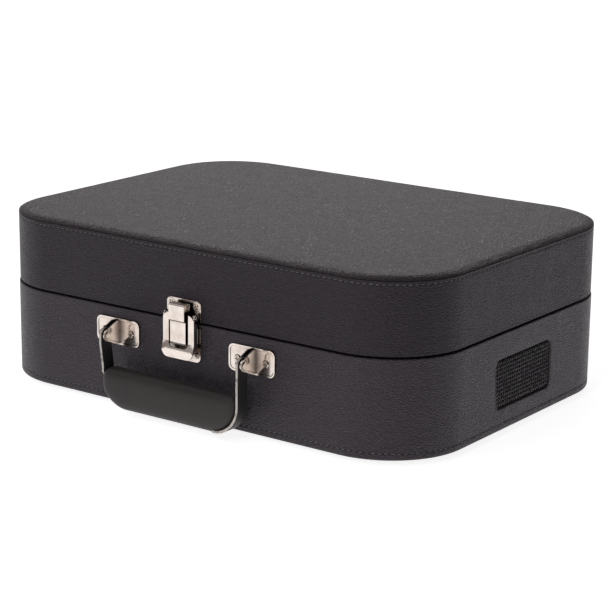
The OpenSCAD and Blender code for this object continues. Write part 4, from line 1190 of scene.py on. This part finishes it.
@dataclass
class CarryHandle:
    """U of strap with pale cut edges, and the padded grip sleeved on it."""

    wobble: float = 0.28 * MM
    lean: float = 1.9 * MM
    strap_t: float = 1.8 * MM
    outer_bend: float = 20 * MM
    edge_radius: float = 0.32 * MM
    low_rounds: tuple[float, float] = (19 * MM, 23 * MM)
    top_rounds: tuple[float, float] = (8 * MM, 5 * MM)
    end_round: float = 6.5 * MM
    sag: float = 0.35 * MM

    def __post_init__(self) -> None:
        """Reads the strap's and the grip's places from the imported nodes."""
        low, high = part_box("handle_strap")
        grip_low, grip_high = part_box("handle_grip")
        self.strap_w = high.y - low.y
        self.mid_y = (low.y + high.y) / 2
        self.half_x = high.x - self.strap_t / 2
        self.top, self.low = high.z, low.z + self.strap_t / 2
        self.bend = self.outer_bend - self.strap_t / 2
        self.grip_half_d = (grip_high.y - grip_low.y) / 2
        self.grip_top = grip_high.z
        self.grip_left, self.grip_right = -high.x + 1.6 * MM, grip_high.x - 0.1 * MM

    def strap_line(self) -> list[tuple[Vector, Vector, float]]:
        """Stops along the strap as (point, side direction, half width).

        Returns:
            Stops from the top of the left arm, down, across and up the right arm.
        """
        pivot = self.top - self.strap_w / 2
        stops: list[tuple[Vector, Vector, float]] = []
        cap = 10
        for k in range(cap):
            angle = math.pi / 2 * k / cap
            z = pivot + self.strap_w / 2 * math.cos(angle)
            half = max(self.strap_w / 2 * math.sin(angle), 0.12 * self.strap_w / 2)
            stops.append((Vector((-self.half_x, self.mid_y, z)), Vector((-1, 0, 0)), half))
        arm_low = self.low + self.bend
        arm = 16
        for k in range(arm + 1):
            z = pivot + (arm_low - pivot) * k / arm
            sway = self.wobble * math.sin(math.pi * k / arm) * noise.noise(Vector((3.1, z * 90, 0.4)))
            stops.append((Vector((-self.half_x + sway, self.mid_y, z)), Vector((-1, 0, 0)), self.strap_w / 2))
        corner = 14
        for k in range(1, corner + 1):
            angle = math.pi / 2 * k / corner
            out = Vector((-math.cos(angle), 0, -math.sin(angle)))
            centre = Vector((-self.half_x + self.bend, self.mid_y, arm_low))
            stops.append((centre + out * self.bend, out, self.strap_w / 2))
        floor_x = self.half_x - self.bend
        floor = 24
        down = Vector((0, 0, -1))
        places = [-floor_x + 2 * floor_x * k / floor for k in range(1, floor)]
        run = [(Vector((x, self.mid_y, self.low)), down, self.strap_w / 2) for x in places]
        mirrored = [
            (Vector((-p.x, p.y, p.z)), Vector((-n.x, n.y, n.z)), half) for p, n, half in reversed(stops)
        ]
        return [(self.leant(p), n, half * self.tucked(p)) for p, n, half in stops + run + mirrored]

    def leant(self, point: Vector) -> Vector:
        """Moves a point of the left arm inwards, as the worn strap leans under its grip."""
        drop = (self.top - self.strap_w - point.z) / (self.top - self.strap_w - self.grip_top)
        share = min(max(drop, 0.0), 1.0) * max(-point.x / self.half_x, 0.0)
        return point + Vector((self.lean * share, 0, 0))

    def tucked(self, point: Vector) -> float:
        """Share of the strap's width at a point: it is trimmed narrow where the grip hides it."""
        enter = (self.grip_top - 3.5 * MM - point.z) / (3 * MM) if point.x < 0 else 1.0
        leave = (self.half_x - self.bend + 1 * MM - point.x) / (5 * MM)
        share = min(max(min(enter, leave), 0.0), 1.0)
        return 1 - 0.45 * share * share * (3 - 2 * share)

    def build_strap(self) -> bpy.types.Object:
        """Builds the strap with rounded corners and cut edges in their own finish."""
        shape = Shape()
        soft = self.edge_radius
        rings = []
        for point, out, half in self.strap_line():
            section = []
            for corner, (su, sv) in enumerate([(1, 1), (-1, 1), (-1, -1), (1, -1)]):
                for k in range(3):
                    angle = math.pi / 2 * (corner + k / 2)
                    u = su * (self.strap_t / 2 - soft) + soft * math.cos(angle)
                    v = sv * (half - soft) + soft * math.sin(angle)
                    section.append(point + out * u + Vector((0, -1, 0)) * v)
            rings.append(shape.ring(section))
        half_section = [0, 1, 1, 1, 0, 0]
        shape.skin(rings, tags=half_section * 2)
        for ring in (rings[0], rings[-1]):
            shape.bm.faces.new(ring)
        finishes = [STRAP_SKIN, STRAP_EDGE]
        return shape.finish("carry_strap", finishes, Body.HANDLE, Slot.STRAP, ["handle_strap"])

    def grip_limits(self, x: float) -> tuple[float, float, float]:
        """Lowest point, highest point and half depth of the grip at a place along it.

        Args:
            x: Place along the grip.

        Returns:
            Low, high and half depth.
        """
        left, right = self.grip_left, self.grip_right
        floor = self.low - self.strap_t / 2 - 0.15 * MM
        from_end = max(min(x - left, right - x), 0.0)
        right_half = int(x >= 0)

        def rounding(radius: float, power: float) -> float:
            """How far the edge has drawn in at this distance from the end."""
            share = min(from_end / radius, 1.0)
            return radius * (1 - (1 - (1 - share) ** power) ** (1 / power))

        low = floor + rounding(self.low_rounds[right_half], 2.0)
        high = self.grip_top - rounding(self.top_rounds[right_half], 2.2)
        end_share = min(from_end / self.end_round, 1.0)
        half_depth = self.grip_half_d * (1 - (1 - end_share) ** 2.6) ** (1 / 2.6)
        return low, max(high, low + 0.5 * MM), max(half_depth, 0.3 * MM)

    def build_grip(self) -> bpy.types.Object:
        """Builds the grip as a padded sleeve, full in the middle and drawn in at its ends."""
        shape = Shape()
        left, right = self.grip_left, self.grip_right
        count, around, power = 72, 44, 2 / 3.1
        rings = []
        for k in range(count + 1):
            x = (left + right) / 2 - (right - left) / 2 * math.cos(math.pi * k / count) * 0.9999
            low, high, half_depth = self.grip_limits(x)
            ring = []
            for s in range(around):
                angle = math.tau * s / around
                c, n = math.cos(angle), math.sin(angle)
                y = math.copysign(abs(c) ** power, c) * half_depth
                z = math.copysign(abs(n) ** power, n) * (high - low) / 2
                sag = self.sag * math.sin(math.pi * k / count) if n > 0.7 else 0.0
                ring.append(Vector((x, self.mid_y + y, (low + high) / 2 + z - sag)))
            rings.append(shape.ring(ring))
        shape.skin(rings)
        for ring in (rings[0], rings[-1]):
            middle = sum((v.co for v in ring), Vector()) / len(ring)
            shape.fan(ring, middle)
        ripple(shape.bm, 16 * MM, 0.12 * MM)
        piece = shape.finish("padded_grip", [GRIP_SKIN], Body.HANDLE, Slot.GRIP, ["handle_grip"], sharp=80)
        return piece

    def build(self) -> None:
        """Builds the strap and then the grip."""
        self.build_strap()
        self.build_grip()


# Deck -----------------------------------------------------------------------


@dataclass
class DeckPrint:
    """Printed marks on the deck: speeds beside the selector and a scale round the volume knob."""

    case: CaseSizes
    ink: float = 0.08 * MM
    above_deck: float = 0.01 * MM
    figure_size: float = 4.2 * MM
    scale_radius: float = 12.6 * MM
    figure_radius: float = 16.2 * MM
    selector_radius: float = 8 * MM

    def bar(self, shape: Shape, centre: Vector, angle: float, length: float, width: float) -> None:
        """Adds one printed bar, pointing outwards at an angle."""
        along = Vector((math.cos(angle), math.sin(angle), 0)) * length / 2
        across = Vector((-math.sin(angle), math.cos(angle), 0)) * width / 2
        rings = []
        for z in (0.0, self.ink):
            up = Vector((0, 0, z + self.above_deck))
            corners = [along + across, across - along, -along - across, along - across]
            rings.append(shape.ring([centre + c + up for c in corners]))
        shape.skin(rings)
        for ring in rings:
            shape.bm.faces.new(ring)

    def figures(self, name: str, text: str, place: Vector) -> None:
        """Adds printed figures, centred on a place."""
        curve = bpy.data.curves.new(name, "FONT")
        curve.body, curve.size, curve.extrude = text, self.figure_size, self.ink / 2
        curve.align_x, curve.align_y = "CENTER", "CENTER"
        draft = bpy.data.objects.new(name + "_draft", curve)
        bpy.context.scene.collection.objects.link(draft)
        bpy.context.view_layer.update()
        mesh = bpy.data.meshes.new_from_object(draft)
        bpy.data.objects.remove(draft)
        mesh.transform(Matrix.Translation(place + Vector((0, 0, self.ink / 2 + self.above_deck))))
        mesh.materials.clear()
        mesh.materials.append(PRINT_INK.material())
        piece = bpy.data.objects.new(name, mesh)
        bpy.context.scene.collection.objects.link(piece)
        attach(piece, Body.BASE.value)
        LOG.info("piece %s rides on %s", name, Body.BASE.value)

    def build(self) -> None:
        """Prints the volume scale and the speed figures."""
        z = self.case.deck_top
        low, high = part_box("volume_knob")
        knob = Vector(((low.x + high.x) / 2, (low.y + high.y) / 2, z))
        shape = Shape()
        marks, sweep = 11, 280
        for k in range(marks):
            angle = math.radians(90 - sweep * k / (marks - 1))
            out = Vector((math.cos(angle), math.sin(angle), 0))
            length = 2.6 * MM if k in (0, marks - 1) else 1.6 * MM
            self.bar(shape, knob + out * self.scale_radius, angle, length, 0.5 * MM)
        shape.finish("volume_scale", [PRINT_INK], Body.BASE, Slot.DECK)
        low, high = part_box("speed_selector")
        selector = Vector((high.x - self.selector_radius, (low.y + high.y) / 2, z))
        for k, speed in enumerate(("33", "45", "78")):
            angle = math.radians(180 - 30 * k)
            out = Vector((math.cos(angle), math.sin(angle), 0))
            self.figures(f"speed_figure_{speed}", speed, selector + out * self.figure_radius)


@dataclass
class SocketRings:
    """Coloured rings at the foot of the two phono sockets.

    The section is a ring's cut, in millimetres from its axis and from the socket plate.
    """

    flange_radius: float = 5.5 * MM
    spacing: float = 14 * MM
    around: int = 48
    section: tuple[tuple[float, float], ...] = (
        (4.3, 1.85), (4.3, 3.0), (4.7, 3.35), (6.0, 3.35), (6.45, 3.0),
        (6.6, 2.2), (6.6, 0.02), (5.6, 0.02), (5.6, 1.85),
    )

    def build(self) -> None:
        """Builds a white ring on the left socket and a red one on the right."""
        low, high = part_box("audio_sockets")
        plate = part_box("rear_socket_plate")[1].y
        z, left_x = (low.z + high.z) / 2, low.x + self.flange_radius
        right_x = left_x + self.spacing
        for name, finish, x in [("white", WHITE_PLASTIC, left_x), ("red", RED_PLASTIC, right_x)]:
            shape = Shape()
            rings = []
            for k in range(self.around):
                angle = math.tau * k / self.around
                out = Vector((math.cos(angle), 0, math.sin(angle)))
                cut = [Vector((x, plate + d * MM, z)) + out * r * MM for r, d in self.section]
                rings.append(shape.ring(cut))
            shape.skin(rings, round_trip=True)
            shape.finish(f"phono_ring_{name}", [finish], Body.BASE, Slot.SOCKET, sharp=40)


# Carried-over nodes ---------------------------------------------------------


@dataclass(frozen=True)
class CarriedNode:
    """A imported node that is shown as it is, with soft edges and its own finish."""

    node: str
    finish: Finish
    edge: float = 0.2 * MM
    join: float = 0.004 * MM
    crisp_angle: float = 32.0

    def dress(self, frame: dict) -> None:
        """Adds the edge's bevel, smooth shading and the finish.
        """
        piece = frame["nodes"][self.node]
        mesh = piece.data
        mesh.materials.clear()
        mesh.materials.append(self.finish.material())
        mesh.polygons.foreach_set("use_smooth", [True] * len(mesh.polygons))
        mesh.polygons.foreach_set("material_index", [0] * len(mesh.polygons))
        weld = piece.modifiers.new("join_corners", "WELD")
        weld.merge_threshold = self.join
        if self.edge:
            bevel = piece.modifiers.new("soft_edges", "BEVEL")
            bevel.width, bevel.segments = self.edge, 2
            bevel.limit_method, bevel.angle_limit = "ANGLE", math.radians(self.crisp_angle)
            bevel.miter_outer = "MITER_ARC"
            bevel.use_clamp_overlap = True
        shade = piece.modifiers.new("even_shading", "WEIGHTED_NORMAL")
        shade.keep_sharp = False
        shade.weight = 80
        LOG.info("node %s: %s", self.node, self.finish.name)


def aim(azimuth: float, elevation: float) -> Vector:
    """Direction from the case towards a lamp or the camera, from degrees round and up."""
    a, e = math.radians(azimuth), math.radians(elevation)
    return Vector((math.sin(a) * math.cos(e), -math.cos(a) * math.cos(e), math.sin(e)))


def carried_nodes() -> list[CarriedNode]:
    """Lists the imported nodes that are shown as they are, with their finishes."""
    low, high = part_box("platter")
    hub = ((low.x + high.x) / 2, (low.y + high.y) / 2, 0.0)
    spun_platter = SpunMetal("spun_platter", (0.62, 0.62, 0.63), (0.46, 0.46, 0.47), hub, 0.6 * MM)
    spun_steel = SpunMetal("turned_spindle", (0.74, 0.74, 0.75), (0.62, 0.62, 0.63), hub, 0.3 * MM, shine=0.2)
    mat_felt = Felt("slip_mat_felt", (0.010, 0.010, 0.011), (0.032, 0.032, 0.033), hub, 15 * MM)
    finishes: list[tuple[Finish, float, Sequence[str]]] = [
        (BOARD, 0.0, ["base_frame", "lid_frame"]),
        (UNDERSIDE_BOARD, 0.4, ["bottom_panel"]),
        (FOOT_RUBBER, 0.6, ["rubber_feet"]),
        (SCREW_STEEL, 0.12, ["underside_screws", "deck_screws", "hardware_screws", "lid_screws"]),
        (DECK_PLASTIC, 0.3, ["deck_plate"]),
        (SPEAKER_PAINT, 0.3, ["left_speaker", "right_speaker"]),
        (BOARD_GREEN, 0.0, ["circuit_board"]),
        (WIRE_RED, 0.2, ["wiring"]),
        (SOCKET_PLASTIC, 0.25, ["rear_socket_plate", "power_inlet"]),
        (BRASS, 0.15, ["audio_sockets", "motor_pulley"]),
        (spun_steel, 0.2, ["platter_spindle"]),
        (HINGE_STEEL, 0.2, ["motor", "hinge_base_leaves", "hinge_pins", "hinge_lid_leaves"]),
        (BELT_RUBBER, 0.2, ["drive_belt"]),
        (NICKEL, 0.22, ["latch_plate", "latch_lever", "latch_strike", "latch_hook_pin", "latch_rivets"]),
        (NICKEL, 0.3, ["latch_hook", "left_handle_bracket", "right_handle_bracket", "handle_rivets"]),
        (ARM_PLASTIC, 0.4, ["tonearm_base", "arm_rest", "lift_housing", "arm_yoke", "headshell", "arm_clip"]),
        (ARM_PLASTIC, 0.35, ["cue_lever", "lift_platform"]),
        (spun_platter, 0.3, ["platter"]),
        (mat_felt, 0.4, ["slip_mat"]),
        (SATIN_ALUMINIUM, 0.3, ["arm_tube"]),
        (WEIGHT_PAINT, 0.5, ["counterweight"]),
        (RED_PLASTIC, 0.3, ["cartridge"]),
        (WHITE_PLASTIC, 0.05, ["stylus"]),
        (LINING, 0.3, ["lid_lining"]),
        (KNOB_PLASTIC, 0.4, ["volume_knob", "speed_selector", "adapter_45"]),
        (SLIDER_PLASTIC, 0.3, ["auto_stop_switch"]),
    ]
    return [CarriedNode(node, finish, edge * MM) for finish, edge, nodes in finishes for node in nodes]


# Studio ---------------------------------------------------------------------


@dataclass(frozen=True)
class Softbox:
    """A studio lamp aimed at the case."""

    name: str
    azimuth: float
    elevation: float
    distance: float
    width: float
    height: float
    power: float

    def build(self, target: Vector) -> None:
        """Hangs the lamp and turns it to the target."""
        lamp = bpy.data.lights.new(self.name, "AREA")
        lamp.shape, lamp.size, lamp.size_y = "RECTANGLE", self.width, self.height
        lamp.energy = self.power
        holder = bpy.data.objects.new(self.name, lamp)
        back = aim(self.azimuth, self.elevation)
        holder.location = target + back * self.distance
        holder.visible_camera = False
        holder.rotation_mode = "QUATERNION"
        holder.rotation_quaternion = (-back).to_track_quat("-Z", "Y")
        bpy.context.scene.collection.objects.link(holder)


@dataclass(frozen=True)
class GlowingPaper(Finish):
    """White background paper, lit from below as on a light table."""

    white: float = 0.9
    cloud_size: float = 0.4
    glow: float = 0.85

    def lay(self, graph: NodeGraph) -> None:
        """Lays faint clouds of white with an even glow."""
        cloud = graph.noise(self.cloud_size, 2.0)
        dim = (self.white - 0.01,) * 3
        graph.drive("Base Color", graph.blend(cloud, dim, (self.white,) * 3))
        graph.fix(Roughness=0.85, Emission_Color=(1.0, 1.0, 1.0, 1.0), Emission_Strength=self.glow)


@dataclass
class Studio:
    """Pale floor, soft light and the camera in front of the case."""

    case: CaseSizes
    azimuth: float = 35.99
    elevation: float = 14.78
    roll: float = 0.66
    distance: float = 1386.5 * MM
    slide_right: float = 1.2 * MM
    slide_up: float = -8.7 * MM
    lens: float = 119.2
    sensor: float = 36.0
    floor_half: float = 15.0
    sky_colour: tuple[float, float, float, float] = (1.0, 0.945, 0.98, 1.0)
    sky_left: float = 0.35
    sky_right: float = 0.07
    fade_start: float = -0.6
    fade_end: float = 0.5
    lamps: tuple[Softbox, ...] = (
        Softbox("key_softbox", -30, 52, distance=1.7, width=1.1, height=0.8, power=3.6),
        Softbox("corner_softbox", 12, 30, distance=1.8, width=0.35, height=0.6, power=4),
        Softbox("back_softbox", 216, 20, distance=2.0, width=1.4, height=0.3, power=2.6),
    )

    def build_camera(self, target: Vector) -> None:
        """Sets the camera on its stand.

        Args:
            target: The middle of the case.
        """
        a, r = math.radians(self.azimuth), math.radians(self.roll)
        back = aim(self.azimuth, self.elevation)
        level = Vector((math.cos(a), math.sin(a), 0))
        rise = back.cross(level)
        right = level * math.cos(r) + rise * math.sin(r)
        up = rise * math.cos(r) - level * math.sin(r)
        data = bpy.data.cameras.new("studio_camera")
        data.lens, data.sensor_width = self.lens, self.sensor
        data.clip_start, data.clip_end = 0.05, 50
        camera = bpy.data.objects.new("studio_camera", data)
        turn = Matrix((right, up, back)).transposed()
        place = target + back * self.distance + level * self.slide_right + rise * self.slide_up
        camera.matrix_world = Matrix.Translation(place) @ turn.to_4x4()
        bpy.context.scene.collection.objects.link(camera)
        bpy.context.scene.camera = camera

    def build_floor(self) -> None:
        """Lays the pale floor."""
        shape = Shape()
        half = self.floor_half
        corners = [Vector((x * half, y * half, 0)) for x, y in [(-1, -1), (1, -1), (1, 1), (-1, 1)]]
        shape.bm.faces.new(shape.ring(corners))
        mesh = bpy.data.meshes.new("studio_floor")
        shape.bm.to_mesh(mesh)
        shape.bm.free()
        floor = bpy.data.objects.new("studio_floor", mesh)
        mesh.materials.append(GlowingPaper("floor_paper").material())
        bpy.context.scene.collection.objects.link(floor)

    def build_sky(self) -> None:
        """Lights the room from all round, brighter on the left than on the right."""
        world = bpy.data.worlds.new("studio_sky")
        world.use_nodes = True
        tree = world.node_tree
        course = tree.nodes.new("ShaderNodeTexCoord").outputs["Generated"]
        split = tree.nodes.new("ShaderNodeSeparateXYZ")
        fade = tree.nodes.new("ShaderNodeMapRange")
        fade.interpolation_type = "SMOOTHSTEP"
        levels = {"From Min": self.fade_start, "From Max": self.fade_end}
        levels |= {"To Min": self.sky_left, "To Max": self.sky_right}
        for name, value in levels.items():
            fade.inputs[name].default_value = value
        tree.links.new(course, split.inputs[0])
        tree.links.new(split.outputs["X"], fade.inputs["Value"])
        tree.links.new(fade.outputs["Result"], tree.nodes["Background"].inputs["Strength"])
        tree.nodes["Background"].inputs["Color"].default_value = self.sky_colour
        bpy.context.scene.world = world

    def build(self) -> None:
        """Builds floor, lamps, sky and camera."""
        target = Vector((0, self.case.centre_y, (self.case.base_low + self.case.lid_top) / 2))
        self.build_floor()
        for lamp in self.lamps:
            lamp.build(target)
        self.build_sky()
        bpy.context.scene.view_settings.view_transform = "Standard"
        self.build_camera(target)
        LOG.info("studio: camera at azimuth %.2f, elevation %.2f", self.azimuth, self.elevation)


def main() -> None:
    """Builds every sub-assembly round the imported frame, in order."""
    logging.basicConfig(level=logging.INFO, format="%(name)s: %(message)s")
    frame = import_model()
    case = CaseSizes.read(frame)
    for carried in carried_nodes():
        carried.dress(frame)
    base_shell, lid_shell = BaseShell(case), LidShell(case)
    base_shell.build()
    lid_shell.build()
    LidCover(case).build()
    StitchLine("base_stitches", case.outline(), case.base_low + base_shell.seam_up, Body.BASE).build()
    lid_seam = case.band_top - lid_shell.seam_down
    StitchLine("lid_stitches", case.outline(case.lid_inset), lid_seam, Body.LID).build()
    for side in Side:
        WovenGrille(case, side).build()
    CarryHandle().build()
    DeckPrint(case).build()
    SocketRings().build()
    Studio(case).build()


if __name__ == "__main__":
    main()
